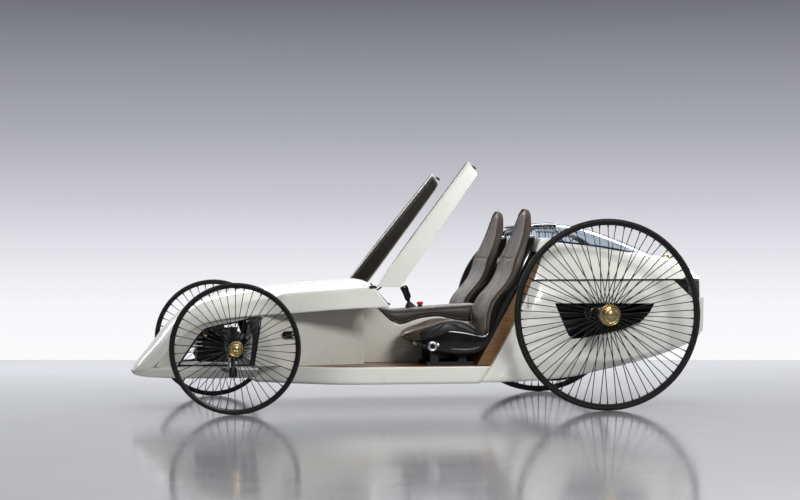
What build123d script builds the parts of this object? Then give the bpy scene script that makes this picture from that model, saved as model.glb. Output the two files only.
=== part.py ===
from build123d import *
import math
import os

# Open two-seat concept car with wire wheels and raised beam doors
# All sizes in millimetres. X runs to the tail, Y to the car's right, Z up from the ground.
# A station is a distance behind the front axle, and x_at turns it into X.

os.makedirs("parts", exist_ok=True)

# Overall layout
NOSE_OVERHANG = 585
WHEELBASE = 2326
TAIL_OVERHANG = 824
FRONT_TRACK = 1690
REAR_TRACK = 1810
HALF_WIDTH = 700
BEYOND_SIDE = 900
FRONT_X = NOSE_OVERHANG - (NOSE_OVERHANG + WHEELBASE + TAIL_OVERHANG) / 2


def x_at(station):
    return FRONT_X + station


def slice_plane(station):
    return Plane(origin=(x_at(station), 0, 0), x_dir=(0, 1, 0), z_dir=(1, 0, 0))


# Wheels: overall radius, tyre depth and width, rim depth, spokes, hub flanges and cap
FRONT_WHEEL = dict(
    radius=402, tyre_depth=20, tyre_width=30, rim_depth=13, rim_width=24, spokes=42, spoke_r=2.5,
    flange_r=38, barrel_r=24, inner_y=90, outer_y=30, cap_r=46, cap_y=62, inboard_y=104,
)
REAR_WHEEL = dict(
    radius=600, tyre_depth=25, tyre_width=34, rim_depth=16, rim_width=28, spokes=66, spoke_r=2.5,
    flange_r=54, barrel_r=34, inner_y=140, outer_y=32, cap_r=66, cap_y=66, inboard_y=250,
)
FLANGE_THICK = 8
SPINDLE_R = 16
SPINDLE_CLEARANCE = 0.08
SPINDLE_END_GAP = 4

# Steering: the kingpin stands inboard of the front wheel
KINGPIN_Y = 690
KINGPIN_R = 14
ARM_EYE_R = 27
ARM_EYE_HALF = 20
UPPER_ARM_Z = 500
LOWER_ARM_Z = 250
KNUCKLE_HALF_WIDTH = 26
COLLAR_R = 24
COLLAR_THICK = 10
RUNNING_GAP = 0.5

# Floor: white tub with sills, and the plank deck laid flush in it
TUB_BOTTOM_Z = 163
FLOOR_Z = 272
DECK_THICK = 12
SILL_WIDTH = 42
TUB_END_BOTTOM = 1520
TUB_END_TOP = 1571
TUB_PLAN = [(181, 300), (228, 335), (400, 505), (600, 668), (740, HALF_WIDTH)]

# Front body
CHIN_BOTTOM_Z = 190
WINDOW = [(-312, FLOOR_Z), (-198, 455), (-128, 515), (206, 582), (160, FLOOR_Z)]
WINDOW_FRAME_THICK = 13

# Rear body: its front edge slopes back from the floor to the deck behind the seats
SEAM_Z = 815
EDGE_LOW = (TUB_END_TOP, 291)
EDGE_TOP = (2000, 1066)
BULKHEAD_THICK = 12
PANEL_GAP = 1

# Cowl rear edge and doors
COWL_EDGE_TOP = (885, 774)
COWL_EDGE_LOW = (980, 648)
DOOR_GAP = 6
DOOR_TOP_LENGTH = 982
DOOR_LOW_LENGTH = 862
DOOR_SKIN_THICK = 20
DOOR_PAD_THICK = 14
DOOR_LEAN = 10
DOOR_PAD_INSET = 10
LEFT_DOOR_OPEN = 53.5
RIGHT_DOOR_OPEN = 51.5
HINGE_PIN_R = 5
HINGE_BARREL_R = 9
HINGE_CLEARANCE = 0.08
HINGE_TONGUE = 30
HINGE_LEAF = 40

# Seats
SEAT_Y = 399
SEAT_HALF_WIDTH = 230
SEAT_CHANNEL_HALF = 140
SHELL_HALF_WIDTH = 236
HEAD_TAPER_Z = 980
HEAD_TOP_Z = 1285
HEAD_HALF_WIDTH = 115


def side_plane(station, y, z, side):
    # A plane that faces out from the car's left (side -1) or right (side 1)
    return Plane(origin=(x_at(station), y, z), x_dir=(1, 0, 0), z_dir=(0, side, 0))


def closed_ring(half):
    # A symmetric outline from its right half, given from the top centre to the bottom centre
    mirrored = [(-y, z) for y, z in reversed(half) if y > 0]
    return half + mirrored


def loft_body(stations):
    with BuildPart() as body:
        for station, half in stations:
            with BuildSketch(slice_plane(station)):
                Polygon(*closed_ring(half), align=None)
        loft(ruled=True)
    return body.part


def side_block(points, y_low, y_high):
    # An outline in the side view, as stations and heights, extruded from y_low to y_high
    with BuildPart() as block:
        with BuildSketch(Plane.XZ.offset(-y_high)):
            Polygon(*[(x_at(station), z) for station, z in points], align=None)
        extrude(amount=y_high - y_low)
    return block.part


def plan_block(points, z_low, z_high):
    with BuildPart() as block:
        with BuildSketch(Plane.XY.offset(z_low)):
            Polygon(*[(x_at(station), y) for station, y in points], align=None)
        extrude(amount=z_high - z_low)
    return block.part


def mirrored_plan(half):
    # A plan outline from its right-hand side, as stations and half widths
    return half + [(station, -y) for station, y in reversed(half)]


def round_bar(start, end, radius):
    axis = Vector(*end) - Vector(*start)
    with BuildPart() as bar:
        with BuildSketch(Plane(origin=start, z_dir=axis)):
            Circle(radius)
        extrude(amount=axis.length)
    return bar.part


def line_at(low, high, z):
    # The station of a sloping side-view line at height z
    return low[0] + (high[0] - low[0]) * (z - low[1]) / (high[1] - low[1])


def write(piece, name):
    piece.label = name
    export_step(piece, f"parts/{name}.step")


# Nose: stations with crown height, crown half width, side half width and side height
NOSE_STATIONS = [
    # station, top, crown, side, side height
    (-577, 276, 120, 150, 274),
    (-520, 340, 145, 200, 300),
    (-390, 510, 175, 280, 380),
    (-300, 606, 200, 330, 455),
    (-193, 687, 235, 365, 532),
    (-26, 741, 285, 405, 575),
    (200, 766, 330, 440, 596),
]
CROWN_DROP = 14


def nose_solid():
    stations = []
    for station, top, crown, side, side_z in NOSE_STATIONS:
        half = [(0, top), (crown, top - CROWN_DROP if top > 300 else top - 1),
                (side, side_z), (side, FLOOR_Z), (0, FLOOR_Z)]
        stations.append((station, half))
    return loft_body(stations)


nose_full = nose_solid()
window_cut = WINDOW[:-1] + [(240, WINDOW[3][1]), (240, FLOOR_Z), WINDOW[-1]]

with BuildPart() as nose_shell:
    add(nose_full)
    add(side_block(window_cut, -BEYOND_SIDE, BEYOND_SIDE), mode=Mode.SUBTRACT)
write(nose_shell.part, "nose_shell")

# Chin beam under the window, from the tip to the tub: top and bottom half widths
CHIN_STATIONS = [
    # station, top, bottom, top half width, bottom half width
    (-NOSE_OVERHANG, 240, 208, 120, 100),
    (-577, FLOOR_Z, 196, 150, 115),
    (-390, FLOOR_Z, CHIN_BOTTOM_Z, 280, 240),
    (-193, FLOOR_Z, CHIN_BOTTOM_Z, 365, 325),
    (181, FLOOR_Z, CHIN_BOTTOM_Z, 437, 290),
]
chin_sections = [
    (station, [(0, top), (wide, top), (wide, 254 if top > 254 else 230), (narrow, bottom), (0, bottom)])
    for station, top, bottom, wide, narrow in CHIN_STATIONS
]
write(loft_body(chin_sections), "chin_beam")

# Window frames: black rings lining the nose window at each side
with BuildPart() as window_frames:
    with BuildSketch(Plane.XZ):
        Polygon(*[(x_at(s), z) for s, z in WINDOW], align=None)
        offset(amount=-WINDOW_FRAME_THICK, mode=Mode.SUBTRACT)
    extrude(amount=600, both=True)
    add(nose_full, mode=Mode.INTERSECT)
    with BuildSketch(Plane.XY):
        Polygon(*[(x_at(s), y) for s, y in [(-320, -295), (220, -385), (220, 385), (-320, 295)]], align=None)
    extrude(amount=BEYOND_SIDE, mode=Mode.SUBTRACT)
write(window_frames.part, "window_frames")

# Fuselage: the white body core between the footwells, from the window to the cowl's end
FUSELAGE_PLAN = [(160, 436), (490, 430), (863, 290), (880, 287)]
FUSELAGE_END = FUSELAGE_PLAN[-1][0]
with BuildPart() as fuselage:
    add(plan_block(mirrored_plan(FUSELAGE_PLAN), FLOOR_Z, 700))
    add(
        side_block(
            [(160, FLOOR_Z), (206, 582), (206, 592), (FUSELAGE_END, 648), (FUSELAGE_END, FLOOR_Z)], -500, 500
        ),
        mode=Mode.INTERSECT,
    )
write(fuselage.part, "fuselage")

# Closed door outline in the side view, and its hinge pin at the top front corner
door_base_top = (COWL_EDGE_TOP[0] + DOOR_GAP, COWL_EDGE_TOP[1])
door_base_low = (COWL_EDGE_LOW[0] + DOOR_GAP, COWL_EDGE_LOW[1])
door_tip_top = (door_base_top[0] + DOOR_TOP_LENGTH, door_base_top[1] - 6)
door_tip_low = (door_base_low[0] + DOOR_LOW_LENGTH, door_base_low[1] + 26)
DOOR_SIDE = [door_base_top, door_tip_top, door_tip_low, door_base_low]
hinge_point = (door_base_top[0] + 2, door_base_top[1] - 2)
lean_tangent = math.tan(math.radians(DOOR_LEAN))
HINGE_SEGMENT = 18
HINGE_END = 14
HINGE_Y = HALF_WIDTH - DOOR_SKIN_THICK / 2 - (COWL_EDGE_TOP[1] - COWL_EDGE_LOW[1]) * lean_tangent - 14

# Cowl over the legs: stations with top, shoulder and lower edge
COWL_STATIONS = [
    # station, top, shoulder half width, shoulder height, edge half width, edge height
    (200, 766, 330, 752, 440, 596),
    (340, 787, 535, 730, 545, 606),
    (612, 808, 626, 754, 650, 630),
    (900, 820, 678, 774, HALF_WIDTH, 650),
    (1010, 822, 678, 776, HALF_WIDTH, 656),
]
COWL_WALL = 22
cowl_outer = [
    (s, [(0, top), (shoulder, shoulder_z), (edge, edge_z), (0, edge_z - 8)])
    for s, top, shoulder, shoulder_z, edge, edge_z in COWL_STATIONS
]
cowl_inner = [
    (s + COWL_WALL, [(0, top - COWL_WALL), (shoulder - 30, shoulder_z - COWL_WALL),
                     (edge - 40, edge_z + COWL_WALL), (0, edge_z + COWL_WALL)])
    for s, top, shoulder, shoulder_z, edge, edge_z in COWL_STATIONS
]
cowl_cut = [
    (line_at(COWL_EDGE_LOW, COWL_EDGE_TOP, 400), 400), (line_at(COWL_EDGE_LOW, COWL_EDGE_TOP, 1000), 1000),
    (1200, 1000), (1200, 400),
]
with BuildPart() as cowl:
    add(loft_body(cowl_outer))
    add(loft_body(cowl_inner), mode=Mode.SUBTRACT)
    add(side_block(cowl_cut, -BEYOND_SIDE, BEYOND_SIDE), mode=Mode.SUBTRACT)
    add(fuselage.part, mode=Mode.SUBTRACT)
    for side in (-1, 1):
        low_y = side * HINGE_Y - HINGE_SEGMENT - HINGE_END
        high_y = side * HINGE_Y + HINGE_SEGMENT + HINGE_END
        x, z = x_at(hinge_point[0]), hinge_point[1]
        add(round_bar((x, low_y, z), (x, high_y, z), HINGE_BARREL_R + 3), mode=Mode.SUBTRACT)
write(cowl.part, "cowl")

# Dash panel closing the cowl's rear, set in from its edge
DASH_INSET = 60
DASH_THICK = 14
dash_low = (COWL_EDGE_LOW[0] - DASH_INSET, COWL_EDGE_LOW[1])
dash_top = (COWL_EDGE_TOP[0] - DASH_INSET, COWL_EDGE_TOP[1])
dash_front = [(line_at(dash_low, dash_top, z), z) for z in (500, 900)]
dash_strip = dash_front + [(station + DASH_THICK, z) for station, z in reversed(dash_front)]
with BuildPart() as dash:
    add(loft_body(cowl_inner))
    add(side_block(dash_strip, -BEYOND_SIDE, BEYOND_SIDE), mode=Mode.INTERSECT)
write(dash.part, "dash_panel")

# Charge ports on the fuselage sides: capsules with a socket in each
PORT_STATION = 380
PORT_Z = 469
PORT_LENGTH = 96
PORT_HEIGHT = 44
PORT_DEPTH = 16
PORT_BORE_R = 14
PORT_BORE_DEPTH = 12
PORT_Y = 436 - 6 * (PORT_STATION - 160) / 330
with BuildPart() as charge_ports:
    for side in (-1, 1):
        with BuildSketch(side_plane(PORT_STATION, side * (PORT_Y - 4), PORT_Z, side)):
            SlotOverall(PORT_LENGTH, PORT_HEIGHT)
        extrude(amount=PORT_DEPTH + 4)
        socket_station = PORT_STATION + PORT_LENGTH / 2 - PORT_HEIGHT / 2
        with BuildSketch(side_plane(socket_station, side * (PORT_Y + PORT_DEPTH), PORT_Z, side)):
            Circle(PORT_BORE_R)
        extrude(amount=-PORT_BORE_DEPTH, mode=Mode.SUBTRACT)
    add(fuselage.part, mode=Mode.SUBTRACT)
write(charge_ports.part, "charge_ports")

# Floor tub with sills
tub_half = TUB_PLAN + [(TUB_END_TOP + 40, HALF_WIDTH)]
tub_end = [(TUB_END_BOTTOM, TUB_BOTTOM_Z), (TUB_END_TOP, EDGE_LOW[1]), (1900, 400), (1900, 100)]
deck_half = [(s, y - SILL_WIDTH) for s, y in tub_half]
deck_half[0] = (TUB_PLAN[0][0] + SILL_WIDTH, deck_half[0][1] + SILL_WIDTH / 2)
with BuildPart() as floor_tub:
    add(plan_block(mirrored_plan(tub_half), TUB_BOTTOM_Z, FLOOR_Z))
    add(plan_block(mirrored_plan(deck_half), FLOOR_Z - DECK_THICK, FLOOR_Z + 1), mode=Mode.SUBTRACT)
    add(side_block(tub_end, -BEYOND_SIDE, BEYOND_SIDE), mode=Mode.SUBTRACT)
write(floor_tub.part, "floor_tub")

with BuildPart() as deck:
    add(plan_block(mirrored_plan(deck_half), FLOOR_Z - DECK_THICK, FLOOR_Z))
    add(side_block(tub_end, -BEYOND_SIDE, BEYOND_SIDE), mode=Mode.SUBTRACT)
write(deck.part, "wood_deck")

# Tunnel between the seats, with the leather console lying over it
TUNNEL_HALF = 148
CONSOLE_HALF = 157
TUNNEL_TOP = [(FUSELAGE_END, 600), (1000, 600), (1090, 556), (1134, 546), (1200, 560), (1352, 592),
              (1430, 584), (1498, 556), (1620, 556)]
CONSOLE_TOP = [(FUSELAGE_END, 655), (1116, 625), (1432, 656), (1635, 682)]
CONSOLE_LOW = [(FUSELAGE_END, 600), (1000, 600), (1090, 541), (1134, 528), (1200, 544), (1352, 576),
               (1430, 568), (1498, 540), (1620, 540)]
slope = (EDGE_TOP[0] - EDGE_LOW[0]) / (EDGE_TOP[1] - EDGE_LOW[1])
bulkhead_face = EDGE_LOW[0] - BULKHEAD_THICK * math.hypot(1, slope)
bulkhead_low = (bulkhead_face + slope * (FLOOR_Z - EDGE_LOW[1]), FLOOR_Z)
bulkhead_high = (bulkhead_face + slope * (EDGE_TOP[1] - EDGE_LOW[1]), EDGE_TOP[1])
behind_bulkhead = [bulkhead_low, bulkhead_high, (2600, EDGE_TOP[1]), (2600, FLOOR_Z)]
with BuildPart() as tunnel:
    tunnel_side = [(FUSELAGE_END, FLOOR_Z)] + TUNNEL_TOP + [(1800, 556), (1800, FLOOR_Z)]
    add(side_block(tunnel_side, -TUNNEL_HALF, TUNNEL_HALF))
    add(side_block(behind_bulkhead, -BEYOND_SIDE, BEYOND_SIDE), mode=Mode.SUBTRACT)
write(tunnel.part, "tunnel")

with BuildPart() as console:
    console_side = CONSOLE_TOP + [(2000, 682), (2000, 540)] + list(reversed(CONSOLE_LOW))
    add(side_block(console_side, -CONSOLE_HALF, CONSOLE_HALF))
    add(tunnel.part, mode=Mode.SUBTRACT)
    add(cowl.part, mode=Mode.SUBTRACT)
    add(side_block(behind_bulkhead, -BEYOND_SIDE, BEYOND_SIDE), mode=Mode.SUBTRACT)
write(console.part, "console_pad")

# Joystick and stop button on the console
JOYSTICK_STATION = 1200
BUTTON_STATION = 1277


def console_z(station):
    (s0, z0), (s1, z1) = CONSOLE_TOP[1], CONSOLE_TOP[2]
    return z0 + (z1 - z0) * (station - s0) / (s1 - s0)


def console_plane(station):
    (s0, z0), (s1, z1) = CONSOLE_TOP[1], CONSOLE_TOP[2]
    foot = (x_at(station), 0, console_z(station))
    return Plane(origin=foot, x_dir=(s1 - s0, 0, z1 - z0), z_dir=(z0 - z1, 0, s1 - s0))


with BuildPart() as joystick:
    base = console_plane(JOYSTICK_STATION)
    with BuildSketch(base):
        Circle(44)
    with BuildSketch(base.offset(30)):
        Circle(17)
    loft()
    with BuildSketch(base.offset(30)):
        Circle(17)
    with BuildSketch(base.offset(60)):
        Circle(19)
    with BuildSketch(base.offset(118)):
        with Locations((-14, 0)):
            Circle(24)
    with BuildSketch(base.offset(142)):
        with Locations((-22, 0)):
            Circle(18)
    loft(ruled=True)
write(joystick.part, "joystick")

with BuildPart() as stop_button:
    base = console_plane(BUTTON_STATION)
    with BuildSketch(base):
        Circle(17)
    extrude(amount=12)
    with BuildSketch(base.offset(12)):
        Circle(15)
    extrude(amount=8)
    with BuildSketch(base.offset(20)):
        Circle(21)
    extrude(amount=16)
write(stop_button.part, "stop_button")

# Rear body below the seam: half widths at the seam, waist, sill and bottom, and the bottom height
REAR_STATIONS = [
    # station, seam, waist, sill, bottom, bottom height
    (1480, 655, HALF_WIDTH, HALF_WIDTH, 672, TUB_BOTTOM_Z),
    (2000, 650, 702, 695, 640, 170),
    (WHEELBASE, 632, 688, 660, 590, 220),
    (2700, 570, 612, 570, 480, 292),
    (3000, 452, 480, 430, 340, 368),
    (WHEELBASE + TAIL_OVERHANG, 300, 320, 290, 220, 440),
]
WAIST_Z = 620
SILL_Z = 300
rear_sections = []
for station, seam, waist, sill, bottom, bottom_z in REAR_STATIONS:
    sill_z = max(SILL_Z, bottom_z + 40)
    half = [(0, SEAM_Z), (seam, SEAM_Z), (waist, WAIST_Z), (sill, sill_z), (bottom, bottom_z), (0, bottom_z)]
    rear_sections.append((station, half))
rear_front_cut = [
    (TUB_END_BOTTOM + PANEL_GAP, TUB_BOTTOM_Z - 20), (TUB_END_BOTTOM + PANEL_GAP, TUB_BOTTOM_Z),
    (TUB_END_TOP + PANEL_GAP, EDGE_LOW[1]), (EDGE_TOP[0] + PANEL_GAP, EDGE_TOP[1]),
    (EDGE_TOP[0] + PANEL_GAP, 1400), (1300, 1400), (1300, TUB_BOTTOM_Z - 20),
]
# Leaf-shaped openings over the axle, and the dark slot under the tail lip
LEAF = [
    (2043, 667), (2702, 662), (2666, 603), (2608, 548), (2491, 501),
    (2349, 471), (2240, 448), (2160, 438), (2131, 463), (2086, 560),
]
LEAF_INNER_Y = 300
REAR_WALL = 28
POWER_UNIT = [(2130, 205), (2130, 700), (2530, 700), (2530, 272)]
POWER_UNIT_HALF = 380
TAIL_SLOT = [(2880, SEAM_Z - 8), (3022, 692), (3300, 692), (3300, SEAM_Z - 8)]
TAIL_PANEL_INSET = 22
DOOR_POCKET_Y = 630
DOOR_SWEEP_R = 988
DOOR_SWEEP_ZONE = [(1500, 640), (1500, 1100), (1900, 1100), (1900, 640)]


def set_in(half):
    # The rear body's section moved in by its wall thickness
    seam, waist, sill, bottom = half[1:-1]
    return [
        (0, seam[1] - REAR_WALL), (seam[0] - REAR_WALL, seam[1] - REAR_WALL),
        (waist[0] - REAR_WALL, waist[1]), (sill[0] - REAR_WALL, sill[1] + REAR_WALL),
        (bottom[0] - REAR_WALL, bottom[1] + REAR_WALL), (0, half[-1][1] + REAR_WALL),
    ]


rear_hollow_sections = [(station, set_in(half)) for station, half in rear_sections[:-1]]

# The room that the doors' tips sweep as they close, at each side of the rear body
with BuildPart() as door_sweep:
    for side in (-1, 1):
        start = (x_at(hinge_point[0]), side * DOOR_POCKET_Y, hinge_point[1])
        end = (x_at(hinge_point[0]), side * BEYOND_SIDE, hinge_point[1])
        add(round_bar(start, end, DOOR_SWEEP_R))
    add(side_block(DOOR_SWEEP_ZONE, -BEYOND_SIDE, BEYOND_SIDE), mode=Mode.INTERSECT)
rear_front_wall = [(s + REAR_WALL + 10, z) for s, z in rear_front_cut[2:4]] + [(1300, 1400), (1300, 100)]
slot_wall = [
    (TAIL_SLOT[0][0] - 40, 900), (TAIL_SLOT[0][0] - 40, TAIL_SLOT[0][1]),
    (TAIL_SLOT[1][0] - 20, TAIL_SLOT[1][1] - REAR_WALL), (3300, TAIL_SLOT[1][1] - REAR_WALL), (3300, 900),
]
with BuildPart() as rear_hollow:
    add(loft_body(rear_hollow_sections))
    add(side_block(rear_front_wall, -BEYOND_SIDE, BEYOND_SIDE), mode=Mode.SUBTRACT)
    add(side_block(slot_wall, -BEYOND_SIDE, BEYOND_SIDE), mode=Mode.SUBTRACT)
    pocket_wall = [(1600, 600), (1600, 815), (1920, 815), (1920, 600)]
    for low, high in ((-BEYOND_SIDE, REAR_WALL - DOOR_POCKET_Y), (DOOR_POCKET_Y - REAR_WALL, BEYOND_SIDE)):
        add(side_block(pocket_wall, low, high), mode=Mode.SUBTRACT)
with BuildPart() as rear_body:
    add(loft_body(rear_sections))
    add(rear_hollow.part, mode=Mode.SUBTRACT)
    add(side_block(rear_front_cut, -BEYOND_SIDE, BEYOND_SIDE), mode=Mode.SUBTRACT)
    for low, high in ((-BEYOND_SIDE, -LEAF_INNER_Y), (LEAF_INNER_Y, BEYOND_SIDE)):
        add(side_block(LEAF, low, high), mode=Mode.SUBTRACT)
    add(door_sweep.part, mode=Mode.SUBTRACT)
    add(side_block(TAIL_SLOT, -BEYOND_SIDE, BEYOND_SIDE), mode=Mode.SUBTRACT)
write(rear_body.part, "rear_body")

with BuildPart() as power_unit:
    add(side_block(POWER_UNIT, -POWER_UNIT_HALF, POWER_UNIT_HALF))
    add(rear_body.part, mode=Mode.SUBTRACT)
write(power_unit.part, "power_unit")

with BuildPart() as tail_panel:
    inner = [(s, [(max(y - TAIL_PANEL_INSET, 0), z) for y, z in half]) for s, half in rear_sections[-3:]]
    inner[-1] = (inner[-1][0] - TAIL_PANEL_INSET, inner[-1][1])
    add(loft_body(inner))
    add(side_block(TAIL_SLOT, -BEYOND_SIDE, BEYOND_SIDE), mode=Mode.INTERSECT)
write(tail_panel.part, "tail_panel")

# Rear deck above the seam, hollow under the canopy
DECK_STATIONS = [
    # station, seam half width, top height, top half width
    (1840, 652, 1062, 560),
    (2106, 646, 1049, 535),
    (2401, 622, 1027, 450),
    (2730, 562, 986, 285),
    (2934, 480, 956, 230),
    (3040, 425, 930, 215),
    (3122, 345, 868, 200),
]
BASIN_FLOOR_Z = 850
deck_sections = [
    (s, [(0, top), (top_half, top), (seam, SEAM_Z), (0, SEAM_Z)]) for s, seam, top, top_half in DECK_STATIONS
]
BASIN_PLAN = [(2060, 500), (2106, 500), (2401, 415), (2730, 250)]
with BuildPart() as rear_deck:
    add(loft_body(deck_sections))
    add(side_block(rear_front_cut, -BEYOND_SIDE, BEYOND_SIDE), mode=Mode.SUBTRACT)
    add(plan_block(mirrored_plan(BASIN_PLAN), BASIN_FLOOR_Z, 1250), mode=Mode.SUBTRACT)
    add(door_sweep.part, mode=Mode.SUBTRACT)
write(rear_deck.part, "rear_deck")

# Wooden bulkhead behind the seats
BULKHEAD_HALF = 610
with BuildPart() as bulkhead:
    add(
        side_block(
            [bulkhead_low, bulkhead_high, (EDGE_TOP[0], EDGE_TOP[1]),
             (EDGE_LOW[0] + slope * (FLOOR_Z - EDGE_LOW[1]), FLOOR_Z)],
            -BULKHEAD_HALF, BULKHEAD_HALF,
        )
    )
write(bulkhead.part, "wood_bulkhead")

# Canopy: stations with base and top half widths and heights
CANOPY_STATIONS = [
    # station, base half width, base height, top half width, top height
    (2020, 505, 1056, 330, 1152),
    (2173, 500, 1048, 300, 1166),
    (2457, 418, 1021, 220, 1118),
    (2691, 290, 992, 140, 1046),
    (2900, 140, 963, 60, 984),
]
GLASS_THICK = 8
canopy_sections = [
    (s, [(0, top + 5), (top_half, top), (base_half, base), (0, base)])
    for s, base_half, base, top_half, top in CANOPY_STATIONS
]
canopy_hollow = [
    (s + (GLASS_THICK if i == 0 else -GLASS_THICK if i == len(CANOPY_STATIONS) - 1 else 0),
     [(0, top + 5 - GLASS_THICK), (top_half - GLASS_THICK / 2, top - GLASS_THICK),
      (base_half - GLASS_THICK * 1.6, base - 20), (0, base - 20)])
    for i, (s, base_half, base, top_half, top) in enumerate(CANOPY_STATIONS)
]
with BuildPart() as canopy:
    add(loft_body(canopy_sections))
    add(loft_body(canopy_hollow), mode=Mode.SUBTRACT)
    add(rear_deck.part, mode=Mode.SUBTRACT)
write(canopy.part, "canopy_glass")

HOOP_THICK = 18
HOOP_LENGTH = 18
with BuildPart() as canopy_hoop:
    station, base_half, base, top_half, top = CANOPY_STATIONS[0]
    outline = [(0, top + 9), (top_half + 4, top + 4), (base_half + 6, base), (0, base)]
    hollow = [
        (0, top + 9 - HOOP_THICK), (top_half - 6, top + 4 - HOOP_THICK), (base_half - 20, base), (0, base),
    ]
    with BuildSketch(slice_plane(station)):
        Polygon(*closed_ring(outline), align=None)
        Polygon(*closed_ring(hollow), align=None, mode=Mode.SUBTRACT)
    extrude(amount=-HOOP_LENGTH)
    add(rear_deck.part, mode=Mode.SUBTRACT)
write(canopy_hoop.part, "canopy_hoop")

# Brass lamp at the canopy's tail
LAMP_STATION = 2975
LAMP_R = 34
LAMP_TOP_Z = 972
with BuildPart() as tail_lamp:
    with BuildSketch(Plane.XY.offset(LAMP_TOP_Z - 50)):
        with Locations((x_at(LAMP_STATION), 0)):
            Circle(LAMP_R * 0.6)
    extrude(amount=30)
    with BuildSketch(Plane.XY.offset(LAMP_TOP_Z - 20)):
        with Locations((x_at(LAMP_STATION), 0)):
            Circle(LAMP_R)
    extrude(amount=20)
    add(rear_deck.part, mode=Mode.SUBTRACT)
write(tail_lamp.part, "tail_lamp")

# Seats: side profiles as stations and heights, the same for both seats
CUSHION_SIDE = [
    (1084, 448), (1100, 484), (1150, 492), (1230, 500), (1312, 535), (1362, 548), (1419, 550), (1481, 541),
    (1540, 510), (1584, 470), (1584, 430), (1460, 445), (1340, 462), (1240, 440), (1150, 430), (1104, 428),
]
CUSHION_FLOOR = [
    (1100, 484), (1230, 478), (1420, 448), (1584, 440), (1700, 440), (1700, 700), (1000, 700), (1000, 484),
]
BACK_SIDE = [
    (1596, 436), (1600, 556), (1612, 604), (1645, 677), (1698, 739), (1756, 803), (1785, 868), (1799, 944),
    (1823, 998), (1850, 1080), (1862, 1140), (1868, 1215), (1885, 1258), (1915, 1272), (1938, 1256),
    (1944, 1215), (1936, 1130), (1905, 1020), (1858, 910), (1800, 790), (1740, 690), (1688, 590),
    (1645, 500), (1618, 434),
]
BACK_FACE = [
    (1500, 400), (1500, 1400), (1905, 1400), (1905, 1260), (1898, 1180), (1880, 1090), (1850, 1000),
    (1815, 900), (1765, 800), (1705, 700), (1655, 600), (1632, 500), (1625, 400),
]
SHELL_SIDE = [
    (1215, 392), (1240, 450), (1340, 472), (1460, 455), (1592, 441), (1622, 442), (1637, 500), (1680, 590),
    (1732, 690), (1792, 790), (1850, 910), (1897, 1020), (1926, 1112), (1948, 1108), (1936, 1056),
    (1882, 925), (1804, 755), (1720, 600), (1650, 470), (1601, 380), (1575, 350), (1464, 329),
    (1374, 336), (1284, 353),
]
SEAT_GAP = 2
RAIL_STATIONS = (1290, 1470)
seat_clear = [(s - SEAT_GAP, z) for s, z in behind_bulkhead]
RAIL_HALF_LENGTH = 26
RAIL_SPREAD = 140


def head_taper(centre, margin):
    # The seat's outline from the front: straight sides that close in to a narrow head
    half = SEAT_HALF_WIDTH + margin
    head = HEAD_HALF_WIDTH + margin
    with BuildPart() as outline:
        with BuildSketch(slice_plane(1500)):
            Polygon(
                (centre - half, 300), (centre - half, HEAD_TAPER_Z), (centre - head, HEAD_TOP_Z),
                (centre + head, HEAD_TOP_Z), (centre + half, HEAD_TAPER_Z), (centre + half, 300),
                align=None,
            )
        extrude(amount=600)
    return outline.part


for name, side in (("left", -1), ("right", 1)):
    centre = side * SEAT_Y
    with BuildPart() as cushion:
        add(side_block(CUSHION_SIDE, centre - SEAT_HALF_WIDTH, centre + SEAT_HALF_WIDTH))
        add(
            side_block(CUSHION_FLOOR, centre - SEAT_CHANNEL_HALF, centre + SEAT_CHANNEL_HALF),
            mode=Mode.SUBTRACT,
        )
    write(cushion.part, f"seat_cushion_{name}")
    with BuildPart() as back:
        add(side_block(BACK_SIDE, centre - SEAT_HALF_WIDTH, centre + SEAT_HALF_WIDTH))
        add(
            side_block(BACK_FACE, centre - SEAT_CHANNEL_HALF, centre + SEAT_CHANNEL_HALF),
            mode=Mode.SUBTRACT,
        )
        add(side_block(seat_clear, -BEYOND_SIDE, BEYOND_SIDE), mode=Mode.SUBTRACT)
        add(head_taper(centre, 0), mode=Mode.INTERSECT)
    write(back.part, f"seat_back_{name}")
    with BuildPart() as shell:
        upper = [(1560, 300), (1560, 1300), (2000, 1300), (2000, 300)]
        outside_taper = side_block(upper, -BEYOND_SIDE, BEYOND_SIDE)
        outside_taper -= head_taper(centre, SHELL_HALF_WIDTH - SEAT_HALF_WIDTH)
        add(side_block(SHELL_SIDE, centre - SHELL_HALF_WIDTH, centre + SHELL_HALF_WIDTH))
        add(outside_taper, mode=Mode.SUBTRACT)
        add(cushion.part, mode=Mode.SUBTRACT)
        add(back.part, mode=Mode.SUBTRACT)
        add(side_block(seat_clear, -BEYOND_SIDE, BEYOND_SIDE), mode=Mode.SUBTRACT)
    write(shell.part, f"seat_shell_{name}")

with BuildPart() as seat_rails:
    for side in (-1, 1):
        for rail_y in (-RAIL_SPREAD, RAIL_SPREAD):
            centre = side * SEAT_Y + rail_y
            for station in RAIL_STATIONS:
                add(
                    side_block(
                        [(station - RAIL_HALF_LENGTH, FLOOR_Z), (station - RAIL_HALF_LENGTH, 440),
                         (station + RAIL_HALF_LENGTH, 440), (station + RAIL_HALF_LENGTH, FLOOR_Z)],
                        centre - 16, centre + 16,
                    )
                )
            runner = [(1240, FLOOR_Z), (1240, 296), (1540, 296), (1540, FLOOR_Z)]
            add(side_block(runner, centre - 20, centre + 20))
    for side in (-1, 1):
        centre = side * SEAT_Y
        add(side_block(SHELL_SIDE, centre - SHELL_HALF_WIDTH, centre + SHELL_HALF_WIDTH), mode=Mode.SUBTRACT)
        under_seat = [(1200, 400), (1200, 500), (1600, 500), (1600, 400)]
        add(side_block(under_seat, centre - 300, centre + 300), mode=Mode.SUBTRACT)
write(seat_rails.part, "seat_rails")

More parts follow.
